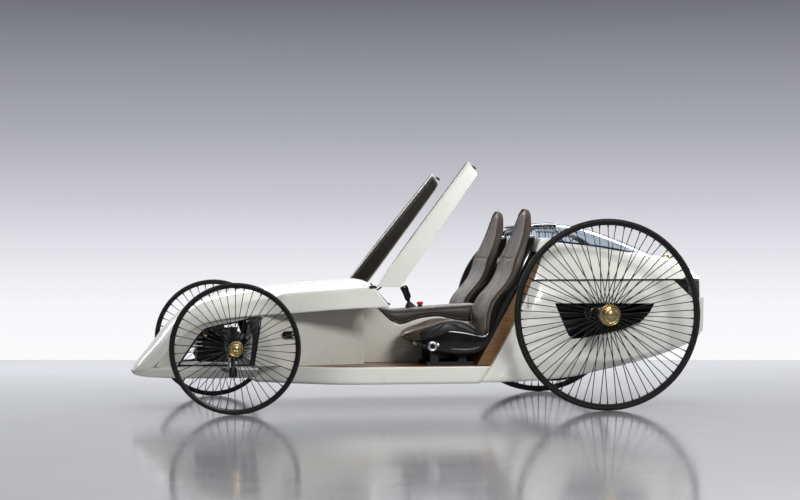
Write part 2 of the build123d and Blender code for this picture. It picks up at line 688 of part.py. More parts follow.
KNOB_STATION = 1259
KNOB_Z = 398
KNOB_R = 30
KNOB_DEPTH = 22
with BuildPart() as seat_knobs:
    for side in (-1, 1):
        face = side * (SEAT_Y + SHELL_HALF_WIDTH)
        plane = Plane(origin=(x_at(KNOB_STATION), face, KNOB_Z), x_dir=(1, 0, 0), z_dir=(0, side, 0))
        with BuildSketch(plane):
            Circle(KNOB_R)
        extrude(amount=KNOB_DEPTH)
        with BuildSketch(plane.offset(KNOB_DEPTH)):
            Circle(KNOB_R * 0.55)
        extrude(amount=-8, mode=Mode.SUBTRACT)
write(seat_knobs.part, "seat_knobs")

# Front subframe inside the nose window, with the steering actuator block
with BuildPart() as front_subframe:
    add(side_block([(-138, 300), (-138, 470), (-40, 505), (-40, 300)], -150, 150))
    for rail_z in (300, 470):
        for rail_y in (-130, 90):
            low = [(-40, rail_z), (-40, rail_z + 34), (190, rail_z + 34), (190, rail_z)]
            add(side_block(low, rail_y, rail_y + 40))
    add(side_block([(-90, FLOOR_Z), (-90, 300), (60, 300), (60, FLOOR_Z)], -150, 150))
    add(side_block([(20, 300), (20, 504), (60, 504), (60, 300)], -130, 130))
    for bar_z in (340, 400):
        for side in (-1, 1):
            start = (x_at(-138), side * 110, bar_z)
            add(round_bar(start, (x_at(-205), side * 110, bar_z), 22))
    add(fuselage.part, mode=Mode.SUBTRACT)
write(front_subframe.part, "front_subframe")

# Suspension arms: the lower from the chin, the upper from the subframe, each ending in a kingpin eye
with BuildPart() as front_arms:
    for side in (-1, 1):
        for arm_z, inner_y, spread in ((LOWER_ARM_Z, 380, 60), (UPPER_ARM_Z - 30, 128, 90)):
            eye = (x_at(0), side * KINGPIN_Y, arm_z if arm_z == LOWER_ARM_Z else UPPER_ARM_Z)
            with BuildSketch(Plane.XY.offset(eye[2] - ARM_EYE_HALF)):
                with Locations((eye[0], eye[1])):
                    Circle(ARM_EYE_R)
            extrude(amount=2 * ARM_EYE_HALF)
            for end_x in (-spread, spread):
                start = (x_at(end_x * 0.6), side * inner_y, arm_z)
                add(round_bar(start, (eye[0], eye[1] - side * 14, eye[2]), 12))
    for side in (-1, 1):
        with BuildSketch(Plane.XY.offset(200)):
            with Locations((x_at(0), side * KINGPIN_Y)):
                Circle(KINGPIN_R + HINGE_CLEARANCE)
        extrude(amount=400, mode=Mode.SUBTRACT)
    add(loft_body(chin_sections), mode=Mode.SUBTRACT)
    add(front_subframe.part, mode=Mode.SUBTRACT)
write(front_arms.part, "front_arms")

# Dampers from the lower arms up to the subframe
with BuildPart() as front_dampers:
    for side in (-1, 1):
        foot = (x_at(0), side * 560, LOWER_ARM_Z + 10)
        middle = (x_at(0), side * 360, 380)
        head = (x_at(0), side * 150, 476)
        add(round_bar(foot, middle, 12))
        add(round_bar(middle, head, 22))
    add(front_arms.part, mode=Mode.SUBTRACT)
    add(front_subframe.part, mode=Mode.SUBTRACT)
write(front_dampers.part, "front_dampers")


# Wheels
def hub_profile(size, bore_r):
    # Hub turned about its axle: distances along the axle outward from the wheel's centre plane
    barrel, flange, cap = size["barrel_r"], size["flange_r"], size["cap_r"]
    inner, outer = -size["inner_y"], size["outer_y"]
    half = FLANGE_THICK / 2
    cap_back = outer + half
    return [
        (bore_r, -size["inboard_y"]), (barrel, -size["inboard_y"]),
        (barrel, inner - half), (flange, inner - half),
        (flange, inner + half), (barrel, inner + half), (barrel, outer - half), (flange, outer - half),
        (flange, cap_back), (cap, cap_back + 4), (cap, cap_back + 10), (cap * 0.62, size["cap_y"] - 6),
        (cap * 0.3, size["cap_y"]), (0, size["cap_y"]), (0, cap_back), (bore_r, cap_back),
    ]


def wheel_parts(size, side, x, track):
    # One wheel's tyre, rim with spokes, and hub, turned to its side of the car
    y_centre = side * track / 2
    z = size["radius"]
    plane = Plane(origin=(x, y_centre, z), x_dir=(1, 0, 0), z_dir=(0, side, 0))
    seat_r = size["radius"] - size["tyre_depth"]
    rim_r = seat_r - size["rim_depth"]
    turning = Plane(origin=(x, y_centre, z), x_dir=(1, 0, 0), z_dir=(0, 0, side))
    axle = Axis((x, y_centre, z), (0, 1, 0))
    half = size["tyre_width"] / 2
    crown = size["tyre_depth"]
    with BuildPart() as tyre:
        with BuildSketch(turning):
            wall_r, shoulder_r = seat_r + crown * 0.45, size["radius"] - crown * 0.12
            Polygon(
                (seat_r, -half * 0.8), (wall_r, -half), (shoulder_r, -half * 0.5), (size["radius"], 0),
                (shoulder_r, half * 0.5), (wall_r, half), (seat_r, half * 0.8),
                align=None,
            )
        revolve(axis=axle)
    with BuildPart() as wire:
        with BuildSketch(turning):
            rim_half = size["rim_width"] / 2
            Polygon(
                (rim_r, -rim_half * 0.5), (rim_r + 5, -rim_half), (seat_r, -rim_half), (seat_r, rim_half),
                (rim_r + 5, rim_half), (rim_r, rim_half * 0.5),
                align=None,
            )
        revolve(axis=axle)
        for index in range(size["spokes"]):
            angle = 2 * math.pi * (index + 0.5) / size["spokes"]
            flange_y = size["outer_y"] if index % 2 == 0 else -size["inner_y"]
            along = Vector(math.cos(angle), math.sin(angle), 0)
            start = plane.from_local_coords(along * size["flange_r"] * 0.9 + Vector(0, 0, flange_y))
            end = plane.from_local_coords(along * (rim_r + 4))
            add(round_bar(tuple(start), tuple(end), size["spoke_r"]))
        with BuildSketch(plane.offset(-400)):
            Circle(size["flange_r"])
        extrude(amount=800, mode=Mode.SUBTRACT)
    with BuildPart() as hub:
        with BuildSketch(turning):
            Polygon(*hub_profile(size, SPINDLE_R + SPINDLE_CLEARANCE), align=None)
        revolve(axis=axle)
    return tyre.part, wire.part, hub.part


for corner, size, side, x, track in (
    ("front_left", FRONT_WHEEL, -1, x_at(0), FRONT_TRACK),
    ("front_right", FRONT_WHEEL, 1, x_at(0), FRONT_TRACK),
    ("rear_left", REAR_WHEEL, -1, x_at(WHEELBASE), REAR_TRACK),
    ("rear_right", REAR_WHEEL, 1, x_at(WHEELBASE), REAR_TRACK),
):
    tyre, wire, hub = wheel_parts(size, side, x, track)
    write(tyre, f"tyre_{corner}")
    write(wire, f"wire_wheel_{corner}")
    write(hub, f"hub_{corner}")

# Steering knuckles: kingpin, collars and the wheel's spindle
for name, side in (("left", -1), ("right", 1)):
    with BuildPart() as knuckle:
        bottom = LOWER_ARM_Z - ARM_EYE_HALF - RUNNING_GAP - COLLAR_THICK
        top = UPPER_ARM_Z + ARM_EYE_HALF + RUNNING_GAP + COLLAR_THICK
        add(round_bar((x_at(0), side * KINGPIN_Y, bottom), (x_at(0), side * KINGPIN_Y, top), KINGPIN_R))
        for collar_z in (
            bottom, top - COLLAR_THICK, LOWER_ARM_Z + ARM_EYE_HALF + RUNNING_GAP,
            UPPER_ARM_Z - ARM_EYE_HALF - RUNNING_GAP - COLLAR_THICK,
        ):
            foot = (x_at(0), side * KINGPIN_Y, collar_z)
            add(round_bar(foot, (foot[0], foot[1], collar_z + COLLAR_THICK), COLLAR_R))
        hub_z = FRONT_WHEEL["radius"]
        add(
            side_block(
                [(-KNUCKLE_HALF_WIDTH, hub_z - 60), (-KNUCKLE_HALF_WIDTH, hub_z + 60),
                 (KNUCKLE_HALF_WIDTH, hub_z + 60), (KNUCKLE_HALF_WIDTH, hub_z - 60)],
                side * KINGPIN_Y - 22, side * KINGPIN_Y + 22,
            )
        )
        spindle_end = FRONT_TRACK / 2 + FRONT_WHEEL["outer_y"] + FLANGE_THICK / 2 - SPINDLE_END_GAP
        add(
            round_bar((x_at(0), side * KINGPIN_Y, hub_z), (x_at(0), side * spindle_end, hub_z), SPINDLE_R)
        )
    write(knuckle.part, f"knuckle_{name}")

# Rear axle through the leaf openings, with a toothed ring near each end
rear_hub_z = REAR_WHEEL["radius"]
rear_x = x_at(WHEELBASE)
hub_inboard = REAR_TRACK / 2 - REAR_WHEEL["inboard_y"]
RING_Y = 505
RING_R = 48
AXLE_TUBE_R = 36
RING_CLEARANCE = 0.1
with BuildPart() as rear_axle:
    spindle_end = REAR_TRACK / 2 + REAR_WHEEL["outer_y"] + FLANGE_THICK / 2 - SPINDLE_END_GAP
    for side in (-1, 1):
        inner = (rear_x, side * POWER_UNIT_HALF, rear_hub_z)
        add(round_bar(inner, (rear_x, side * (hub_inboard - RUNNING_GAP), rear_hub_z), AXLE_TUBE_R))
        add(round_bar(inner, (rear_x, side * spindle_end, rear_hub_z), SPINDLE_R))
write(rear_axle.part, "rear_axle")

with BuildPart() as axle_rings:
    for side in (-1, 1):
        plane = Plane(origin=(rear_x, side * RING_Y, rear_hub_z), x_dir=(1, 0, 0), z_dir=(0, side, 0))
        with BuildSketch(plane):
            Circle(RING_R)
            Circle(AXLE_TUBE_R + RING_CLEARANCE, mode=Mode.SUBTRACT)
        extrude(amount=16)
write(axle_rings.part, "axle_rings")

# Doors: a beam with a leaning outer face, drawn closed and turned up about its hinge pin


def leaning_slab(side, outer_shift, thickness, z_low, z_high):
    # A long slab whose faces lean in towards the top, at HALF_WIDTH at the door's low edge
    def y_at(z, shift):
        return side * (HALF_WIDTH - shift - (z - COWL_EDGE_LOW[1]) * lean_tangent)

    with BuildPart() as slab:
        with BuildSketch(slice_plane(700)):
            inner_shift = outer_shift + thickness
            Polygon(
                (y_at(z_low, outer_shift), z_low), (y_at(z_high, outer_shift), z_high),
                (y_at(z_high, inner_shift), z_high), (y_at(z_low, inner_shift), z_low),
                align=None,
            )
        extrude(amount=1400)
    return slab.part


def shrunk(points, margin):
    with BuildSketch(Plane.XZ) as sketch:
        Polygon(*[(x_at(s), z) for s, z in points], align=None)
        offset(amount=-margin, kind=Kind.INTERSECTION, mode=Mode.REPLACE)
    return sketch.sketch


def turned(piece, degrees):
    pin = Axis((x_at(hinge_point[0]), 0, hinge_point[1]), (0, -1, 0))
    return piece.rotate(pin, degrees)


for name, side, degrees in (("left", -1, LEFT_DOOR_OPEN), ("right", 1, RIGHT_DOOR_OPEN)):
    hinge_y = side * HINGE_Y
    pin_start = (x_at(hinge_point[0]), hinge_y - HINGE_SEGMENT / 2, hinge_point[1])
    pin_end = (x_at(hinge_point[0]), hinge_y + HINGE_SEGMENT / 2, hinge_point[1])
    wide_start = (x_at(hinge_point[0]), hinge_y - 200, hinge_point[1])
    wide_end = (x_at(hinge_point[0]), hinge_y + 200, hinge_point[1])
    with BuildPart() as skin:
        add(leaning_slab(side, 0, DOOR_SKIN_THICK, 500, BEYOND_SIDE))
        add(side_block(DOOR_SIDE, -BEYOND_SIDE, BEYOND_SIDE), mode=Mode.INTERSECT)
        add(round_bar(wide_start, wide_end, HINGE_BARREL_R + 3), mode=Mode.SUBTRACT)
        add(round_bar(pin_start, pin_end, HINGE_BARREL_R))
        low_z = hinge_point[1] - HINGE_BARREL_R
        tongue_end = hinge_point[0] + HINGE_TONGUE
        tongue = [(hinge_point[0], low_z), (tongue_end, low_z), (tongue_end, hinge_point[1]), hinge_point]
        add(side_block(tongue, pin_start[1], pin_end[1]))
        add(round_bar(wide_start, wide_end, HINGE_PIN_R + HINGE_CLEARANCE), mode=Mode.SUBTRACT)
    write(turned(skin.part, degrees), f"door_skin_{name}")
    with BuildPart() as pad:
        add(leaning_slab(side, DOOR_SKIN_THICK, DOOR_PAD_THICK, 500, BEYOND_SIDE))
        with BuildSketch(Plane.XZ.offset(-BEYOND_SIDE)):
            add(shrunk(DOOR_SIDE, DOOR_PAD_INSET))
        extrude(amount=2 * BEYOND_SIDE, mode=Mode.INTERSECT)
        add(round_bar(wide_start, wide_end, HINGE_BARREL_R + 12), mode=Mode.SUBTRACT)
        add(skin.part, mode=Mode.SUBTRACT)
    write(turned(pad.part, degrees), f"door_pad_{name}")

with BuildPart() as door_hinges:
    for side in (-1, 1):
        hinge_y = side * HINGE_Y
        reach = HINGE_SEGMENT / 2 + RUNNING_GAP
        x = x_at(hinge_point[0])
        ends = (hinge_y - reach - HINGE_END, hinge_y + reach + HINGE_END)
        add(round_bar((x, ends[0], hinge_point[1]), (x, ends[1], hinge_point[1]), HINGE_PIN_R))
        for low, high in ((ends[0], hinge_y - reach), (hinge_y + reach, ends[1])):
            add(round_bar((x, low, hinge_point[1]), (x, high, hinge_point[1]), HINGE_BARREL_R))
            low_z, high_z = hinge_point[1] - HINGE_BARREL_R, hinge_point[1] + HINGE_BARREL_R
            leaf_end = hinge_point[0] - HINGE_LEAF
            leaf = [(hinge_point[0], high_z), (leaf_end, high_z), (leaf_end, low_z), (hinge_point[0], low_z)]
            add(side_block(leaf, low, high))
    add(cowl.part, mode=Mode.SUBTRACT)
    add(dash.part, mode=Mode.SUBTRACT)
write(door_hinges.part, "door_hinges")
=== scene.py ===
import math

import bpy
import bmesh
from mathutils import Matrix, Vector
from mathutils.bvhtree import BVHTree
from mathutils.kdtree import KDTree


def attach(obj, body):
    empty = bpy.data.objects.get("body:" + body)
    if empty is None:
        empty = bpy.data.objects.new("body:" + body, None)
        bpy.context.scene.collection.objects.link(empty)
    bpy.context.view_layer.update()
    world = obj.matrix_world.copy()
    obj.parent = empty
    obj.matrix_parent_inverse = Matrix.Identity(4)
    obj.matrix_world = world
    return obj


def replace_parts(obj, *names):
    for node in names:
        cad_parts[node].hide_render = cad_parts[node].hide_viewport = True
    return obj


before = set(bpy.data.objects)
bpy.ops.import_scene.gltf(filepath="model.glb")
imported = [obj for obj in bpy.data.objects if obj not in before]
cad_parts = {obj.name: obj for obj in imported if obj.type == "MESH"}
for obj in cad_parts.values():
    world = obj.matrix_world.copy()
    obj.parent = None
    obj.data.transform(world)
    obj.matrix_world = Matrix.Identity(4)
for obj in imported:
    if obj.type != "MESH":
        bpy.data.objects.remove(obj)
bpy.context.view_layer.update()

# Lengths are in metres in the row frame. Tables hold millimetres, with stations from the front axle.
FRONT_X = -1282.5
WHEELBASE = 2326
FLOOR_Z = 272
HALF_WIDTH = 700
SIDES = (("left", -1), ("right", 1))


def at(station, y, z):
    return Vector(((FRONT_X + station) / 1000, y / 1000, z / 1000))


# Material helpers
def linear(value):
    value = value / 255
    return value / 12.92 if value <= 0.04045 else ((value + 0.055) / 1.055) ** 2.4


def colour(red, green, blue):
    return (linear(red), linear(green), linear(blue), 1)


def ramp(tree, factor, stops):
    # A colour ramp's output for a factor
    node = tree.nodes.new("ShaderNodeValToRGB")
    elements = node.color_ramp.elements
    while len(elements) < len(stops):
        elements.new(0.5)
    for element, (position, value) in zip(elements, stops):
        element.position = position
        element.color = value if len(value) == 4 else (*value, 1)
    tree.links.new(factor, node.inputs["Fac"])
    return node.outputs["Color"]


def mix(tree, factor, first, second):
    # A mix of two colours, each given as a value or as a socket
    node = tree.nodes.new("ShaderNodeMix")
    node.data_type = "RGBA"
    for value, socket in ((factor, node.inputs[0]), (first, node.inputs[6]), (second, node.inputs[7])):
        if isinstance(value, bpy.types.NodeSocket):
            tree.links.new(value, socket)
        else:
            socket.default_value = value
    return node.outputs[2]


class Finish:
    # A Principled material with short calls for the nodes that shape it

    def __init__(self, name, base, roughness, metallic=0.0, **sockets):
        self.material = bpy.data.materials.new(name)
        self.material.use_nodes = True
        self.nodes = self.material.node_tree.nodes
        self.links = self.material.node_tree.links
        self.shader = self.nodes["Principled BSDF"]
        self.shader.inputs["Base Color"].default_value = base
        self.shader.inputs["Roughness"].default_value = roughness
        self.shader.inputs["Metallic"].default_value = metallic
        for socket, value in sockets.items():
            self.shader.inputs[socket.replace("_", " ").title().replace("Ior", "IOR")].default_value = value
        self.place = self.nodes.new("ShaderNodeTexCoord")
        self.material.diffuse_color = base

    def texture(self, kind, scale, stretch):
        mapping = self.nodes.new("ShaderNodeMapping")
        mapping.inputs["Scale"].default_value = stretch
        self.links.new(self.place.outputs["Object"], mapping.inputs["Vector"])
        texture = self.nodes.new(kind)
        texture.inputs["Scale"].default_value = scale
        self.links.new(mapping.outputs["Vector"], texture.inputs["Vector"])
        return texture

    def noise(self, scale, detail=4, stretch=(1, 1, 1), distortion=0.0):
        texture = self.texture("ShaderNodeTexNoise", scale, stretch)
        texture.inputs["Detail"].default_value = detail
        texture.inputs["Distortion"].default_value = distortion
        return texture.outputs["Fac"]

    def cells(self, scale):
        return self.texture("ShaderNodeTexVoronoi", scale, (1, 1, 1)).outputs["Distance"]

    def ramp(self, factor, stops):
        return ramp(self.material.node_tree, factor, stops)

    def mix(self, factor, first, second):
        return mix(self.material.node_tree, factor, first, second)

    def grey(self, factor, low, high):
        return self.ramp(factor, [(0.3, (low, low, low)), (0.7, (high, high, high))])

    def base(self, output):
        self.links.new(output, self.shader.inputs["Base Color"])

    def rough(self, output):
        self.links.new(output, self.shader.inputs["Roughness"])

    def bump(self, *layers):
        normal = None
        for height, strength, distance in layers:
            node = self.nodes.new("ShaderNodeBump")
            node.inputs["Strength"].default_value = strength
            node.inputs["Distance"].default_value = distance
            self.links.new(height, node.inputs["Height"])
            if normal is not None:
                self.links.new(normal, node.inputs["Normal"])
            normal = node.outputs["Normal"]
        self.links.new(normal, self.shader.inputs["Normal"])

    def edges(self, low=0.5, high=0.56):
        geometry = self.nodes.new("ShaderNodeNewGeometry")
        return self.ramp(geometry.outputs["Pointiness"], [(low, (0, 0, 0)), (high, (1, 1, 1))])


def paint(name, base, shade):
    # Pearl lacquer: soft cloudy colour, very fine flake in the bump, a clear coat over it
    finish = Finish(name, base, 0.3, coat_weight=0.5, coat_roughness=0.06)
    clouds = finish.noise(1.6, 3)
    finish.base(finish.mix(finish.grey(clouds, 0.0, 1.0), shade, base))
    finish.rough(finish.grey(finish.noise(9, 5), 0.26, 0.36))
    finish.bump((finish.noise(1500, 2), 0.03, 0.0004), (finish.noise(5, 2), 0.02, 0.004))
    return finish.material


def leather(name, base, dark, worn, grain=420):
    finish = Finish(name, base, 0.45, specular_ior_level=0.45)
    patches = finish.noise(14, 5)
    toned = finish.mix(finish.grey(patches, 0.0, 1.0), dark, base)
    finish.base(finish.mix(finish.edges(0.505, 0.56), toned, worn))
    finish.rough(finish.grey(finish.noise(40, 4), 0.38, 0.56))
    finish.bump(
        (finish.noise(22, 4), 0.12, 0.006),
        (finish.cells(grain), 0.32, 0.0011),
        (finish.noise(grain * 2.4, 3), 0.18, 0.0005),
    )
    return finish.material


def metal(name, base, roughness):
    finish = Finish(name, base, roughness, metallic=1.0)
    finish.rough(finish.grey(finish.noise(60, 4), roughness * 0.8, roughness * 1.35))
    worn = tuple(c * 0.72 for c in base[:3]) + (1,)
    finish.base(finish.mix(finish.grey(finish.noise(25, 4), 0.0, 0.5), base, worn))
    finish.bump((finish.noise(900, 2), 0.05, 0.0003))
    return finish.material


def plain(name, base, roughness, grain=700, strength=0.12, coat=0.0, shine=0.3):
    finish = Finish(name, base, roughness, coat_weight=coat, coat_roughness=0.08, specular_ior_level=shine)
    tone = tuple(min(1, c * 1.7 + 0.004) for c in base[:3]) + (1,)
    finish.base(finish.mix(finish.grey(finish.noise(18, 5), 0.0, 0.8), base, tone))
    finish.rough(finish.grey(finish.noise(30, 4), roughness * 0.85, min(1, roughness * 1.2)))
    finish.bump((finish.noise(grain, 3), strength, 0.0005))
    return finish.material


def wood(name, light, dark):
    finish = Finish(name, light, 0.38, coat_weight=0.25, coat_roughness=0.2)
    grain = finish.noise(9, 8, (1.2, 26, 26), 0.6)
    pores = finish.noise(60, 4, (1, 22, 22))
    boards = finish.noise(3.2, 1, (0.3, 5, 5))
    toned = finish.mix(finish.grey(grain, 0.0, 1.0), dark, light)
    finish.base(finish.mix(finish.grey(boards, 0.0, 0.45), toned, dark))
    finish.rough(finish.grey(pores, 0.3, 0.5))
    finish.bump((grain, 0.12, 0.001), (pores, 0.18, 0.0005))
    return finish.material


def tinted(name, base, density):
    finish = Finish(name, base, 0.02, transmission_weight=1.0, ior=1.2)
    finish.base(finish.mix(finish.grey(finish.noise(2.5, 2), 0.0, 0.4), base, density))
    finish.bump((finish.noise(3, 2), 0.02, 0.004))
    return finish.material


WHITE = paint("pearl_white", colour(233, 232, 226), colour(226, 226, 219))
# A darker copy of the pearl white for the recessed walls under the cowl and for the tunnel: painted shade,
# the walls being the same white paint
WHITE_PAINTED_SHADE = paint("pearl_white_painted_shade", colour(200, 198, 190), colour(190, 188, 180))
LEATHER = leather("taupe_leather", colour(72, 60, 52), colour(58, 48, 41), colour(91, 77, 68))
LEATHER_DARK = leather("dark_leather", colour(29, 22, 18), colour(22, 16, 13), colour(42, 32, 27))
LEATHER_SIDE = leather("black_leather", colour(17, 16, 16), colour(11, 10, 10), colour(28, 26, 25))
# The piping is the seat's own brown; its lighter colour is a painted highlight along the bolster crest
PIPING_PAINTED_HIGHLIGHT = leather("piping_leather_painted_highlight", colour(99, 90, 83), colour(82, 74, 68), colour(118, 109, 101), 700)
THREAD = plain("light_thread", colour(176, 158, 138), 0.8, 1800, 0.4)
BLACK_GLOSS = plain("black_gloss_shell", colour(7, 7, 8), 0.16, 400, 0.03, 0.6)
BLACK_SATIN = plain("black_satin", colour(11, 11, 13), 0.42, 900, 0.15)
BLACK_STEEL = plain("black_steel", colour(8, 8, 9), 0.34, 1200, 0.08, 0.2)
RUBBER = plain("tyre_rubber", colour(8, 8, 9), 0.62, 1100, 0.3)
DARK_METAL = metal("dark_metal", colour(70, 70, 74), 0.4)
SILVER = metal("satin_silver", colour(205, 206, 210), 0.28)
BRASS = metal("polished_brass", colour(214, 196, 148), 0.2)
WOOD = wood("oiled_wood", colour(140, 99, 54), colour(88, 60, 30))
GLASS = tinted("blue_glass", (0.80, 0.87, 0.92, 1), (0.70, 0.80, 0.88, 1))
DARK_GLASS = plain("dark_blue_edge", colour(38, 58, 78), 0.2, 700, 0.05, 0.4)
RED = plain("red_plastic", colour(178, 22, 18), 0.35, 900, 0.08, 0.3)
SHADOW_GAP = plain("dark_gap", colour(12, 12, 13), 0.8, 500, 0.1)


# Mesh helpers
def new_mesh(name, points, faces, material, body, smooth=True):
    mesh = bpy.data.meshes.new(name)
    mesh.from_pydata([tuple(p) for p in points], [], faces)
    mesh.validate()
    mesh.materials.append(material)
    for polygon in mesh.polygons:
        polygon.use_smooth = smooth
    piece = bpy.data.objects.new(name, mesh)
    bpy.context.scene.collection.objects.link(piece)
    if body:
        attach(piece, body)
    return piece


def facing_out(piece):
    work = bmesh.new()
    work.from_mesh(piece.data)
    bmesh.ops.recalc_face_normals(work, faces=work.faces)
    work.to_mesh(piece.data)
    work.free()
    return piece


def applied(piece):
    # Puts a piece's modifiers into its mesh
    graph = bpy.context.evaluated_depsgraph_get()
    mesh = bpy.data.meshes.new_from_object(piece.evaluated_get(graph))
    piece.modifiers.clear()
    piece.data = mesh
    return piece


def modifier(piece, kind, **settings):
    added = piece.modifiers.new(kind.lower(), kind)
    for name, value in settings.items():
        setattr(added, name, value)
    return added


def angles(count):
    return [2 * math.pi * k / count for k in range(count)]


def polar(radius, angle, height):
    # A point about the Z axis, from millimetres
    return Vector((radius * math.cos(angle) / 1000, radius * math.sin(angle) / 1000, height / 1000))


def outward(station, y, z, side):
    # A place whose Z axis points out to a side
    return Matrix.Translation(at(station, y, z)) @ Matrix.Rotation(-side * math.pi / 2, 4, "X")


def grid(rows, closed=False, wrap=False):
    # Faces of a net: closed joins each row's ends, wrap joins the last row to the first
    points = [p for row in rows for p in row]
    count = len(rows[0])
    faces = []
    across = count if closed else count - 1
    along = len(rows) if wrap else len(rows) - 1
    for i in range(along):
        j = (i + 1) % len(rows)
        for k in range(across):
            m = (k + 1) % count
            faces.append((i * count + k, i * count + m, j * count + m, j * count + k))
    return points, faces


def crease(piece, rule):
    # Sets an edge's crease from its two ends' indices
    work = bmesh.new()
    work.from_mesh(piece.data)
    layer = work.edges.layers.float.get("crease_edge") or work.edges.layers.float.new("crease_edge")
    for edge in work.edges:
        value = rule(edge.verts[0].index, edge.verts[1].index)
        if value:
            edge[layer] = value
    work.to_mesh(piece.data)
    work.free()
    return piece


def swept(name, path, radius, material, body, closed=False, sides=8):
    # A round strip of trim along points in metres
    count = len(path)
    rows = []
    up = Vector((0, 0, 1))
    for i, point in enumerate(path):
        before = path[(i - 1) % count] if closed or i > 0 else point
        after = path[(i + 1) % count] if closed or i < count - 1 else point
        along = (after - before).normalized()
        side = along.cross(up)
        if side.length < 0.05:
            side = along.cross(Vector((0, 1, 0)))
        side.normalize()
        out = side.cross(along).normalized()
        rows.append([point + radius * (math.cos(a) * side + math.sin(a) * out) for a in angles(sides)])
    points, faces = grid(rows, closed=True, wrap=closed)
    if not closed:
        faces.append(tuple(reversed(range(sides))))
        faces.append(tuple(range((count - 1) * sides, count * sides)))
    return facing_out(new_mesh(name, points, faces, material, body))


def smooth_path(points, steps=6, closed=False):
    # Catmull-Rom curve through points
    count = len(points)
    made = []
    spans = count if closed else count - 1
    for i in range(spans):
        if closed:
            p0, p1, p2, p3 = (points[(i + d) % count] for d in (-1, 0, 1, 2))
        else:
            p0, p1, p2, p3 = (points[max(0, min(count - 1, i + d))] for d in (-1, 0, 1, 2))
        for k in range(steps):
            t = k / steps
            made.append(
                0.5 * (2 * p1 + (p2 - p0) * t + (2 * p0 - 5 * p1 + 4 * p2 - p3) * t * t
                       + (3 * p1 - p0 - 3 * p2 + p3) * t * t * t)
            )
    if not closed:
        made.append(points[-1].copy())
    return made


def turned(name, profile, place, material, body, segments=64, closed=False):
    # Revolves a profile of radius and height, in millimetres, about place's Z axis
    rows = [[place @ polar(r, angle, h) for r, h in profile] for angle in angles(segments)]
    points, faces = grid(rows, closed=closed, wrap=True)
    piece = new_mesh(name, points, faces, material, body)
    work = bmesh.new()
    work.from_mesh(piece.data)
    bmesh.ops.remove_doubles(work, verts=work.verts, dist=0.00001)
    bmesh.ops.recalc_face_normals(work, faces=work.faces)
    work.to_mesh(piece.data)
    work.free()
    return piece


def sharp_by_angle(piece, degrees=35):
    piece.data.set_sharp_from_angle(angle=math.radians(degrees))
    return piece


def smoothed(piece):
    for polygon in piece.data.polygons:
        polygon.use_smooth = True
    return piece


def joined(name, pieces):
    # One piece from several that ride on the same body
    for piece in bpy.context.selected_objects:
        piece.select_set(False)
    for piece in pieces:
        piece.select_set(True)
    bpy.context.view_layer.objects.active = pieces[0]
    bpy.ops.object.join()
    pieces[0].name = name
    return pieces[0]


def extruded(name, low_ring, high_ring, material, body):
    # Two matching rings closed into a solid
    count = len(low_ring)
    faces = [tuple(range(count)), tuple(reversed(range(count, 2 * count)))]
    faces += [(i, i + count, (i + 1) % count + count, (i + 1) % count) for i in range(count)]
    return facing_out(new_mesh(name, low_ring + high_ring, faces, material, body, False))


def prism(name, outline, y_low, y_high, material, body, bevel=0.0):
    # A side-view outline as stations and heights, made solid from y_low to y_high
    rings = [[at(s, y, z) for s, z in outline] for y in (y_low, y_high)]
    piece = extruded(name, *rings, material, body)
    if bevel:
        modifier(piece, "BEVEL", width=bevel, segments=3, limit_method="ANGLE", angle_limit=math.radians(30))
        sharp_by_angle(smoothed(applied(piece)), 50)
    return piece


def bars(name, runs, material, body, sides=6):
    # Straight bars as one mesh, from runs of start, end and radius
    points, faces = [], []
    for start, end, radius in runs:
        along = (end - start).normalized()
        side = along.cross(Vector((0, 0, 1)))
        if side.length < 0.1:
            side = along.cross(Vector((0, 1, 0)))
        side.normalize()
        out = side.cross(along)
        first = len(points)
        for point in (start, end):
            points += [point + radius * (math.cos(a) * side + math.sin(a) * out) for a in angles(sides)]
        for k in range(sides):
            m = (k + 1) % sides
            faces.append((first + k, first + m, first + sides + m, first + sides + k))
        faces.append(tuple(first + k for k in reversed(range(sides))))
        faces.append(tuple(first + sides + k for k in range(sides)))
    return facing_out(new_mesh(name, points, faces, material, body))


# Camera at the photograph's viewpoint
CAMERA_PLACE = Vector((-2.3842, -12.9998, 0.9765))
CAMERA_AIM = Vector((0.1717, 0.9852, 0.0022))
camera_data = bpy.data.cameras.new("photo_camera")
camera_data.lens = 90
camera_data.sensor_width = 36
camera = bpy.data.objects.new("photo_camera", camera_data)
camera.location = CAMERA_PLACE
camera.rotation_mode = "QUATERNION"
camera.rotation_quaternion = CAMERA_AIM.to_track_quat("-Z", "Y")
bpy.context.scene.collection.objects.link(camera)
bpy.context.scene.camera = camera
bpy.context.scene.view_settings.view_transform = "Standard"

# Wheels: tyre with shallow tread, channelled rim, crossed wire spokes with nipples, hub and brass cap
FRONT_TRACK = 1690
REAR_TRACK = 1810
TREAD_STEPS = 288
TREAD_DEPTH = 1.5
FRONT_WHEEL = dict(
    radius=402, depth=20, width=30, rim_depth=13, rim_width=24, spokes=42, spoke=2.5,
    flange=38, barrel=24, inner=90, outer=30, cap=46, cap_y=62, inboard=104,
)
REAR_WHEEL = dict(
    radius=600, depth=25, width=34, rim_depth=16, rim_width=28, spokes=66, spoke=3.0,
    flange=54, barrel=34, inner=140, outer=32, cap=68, cap_y=88, inboard=250,
)


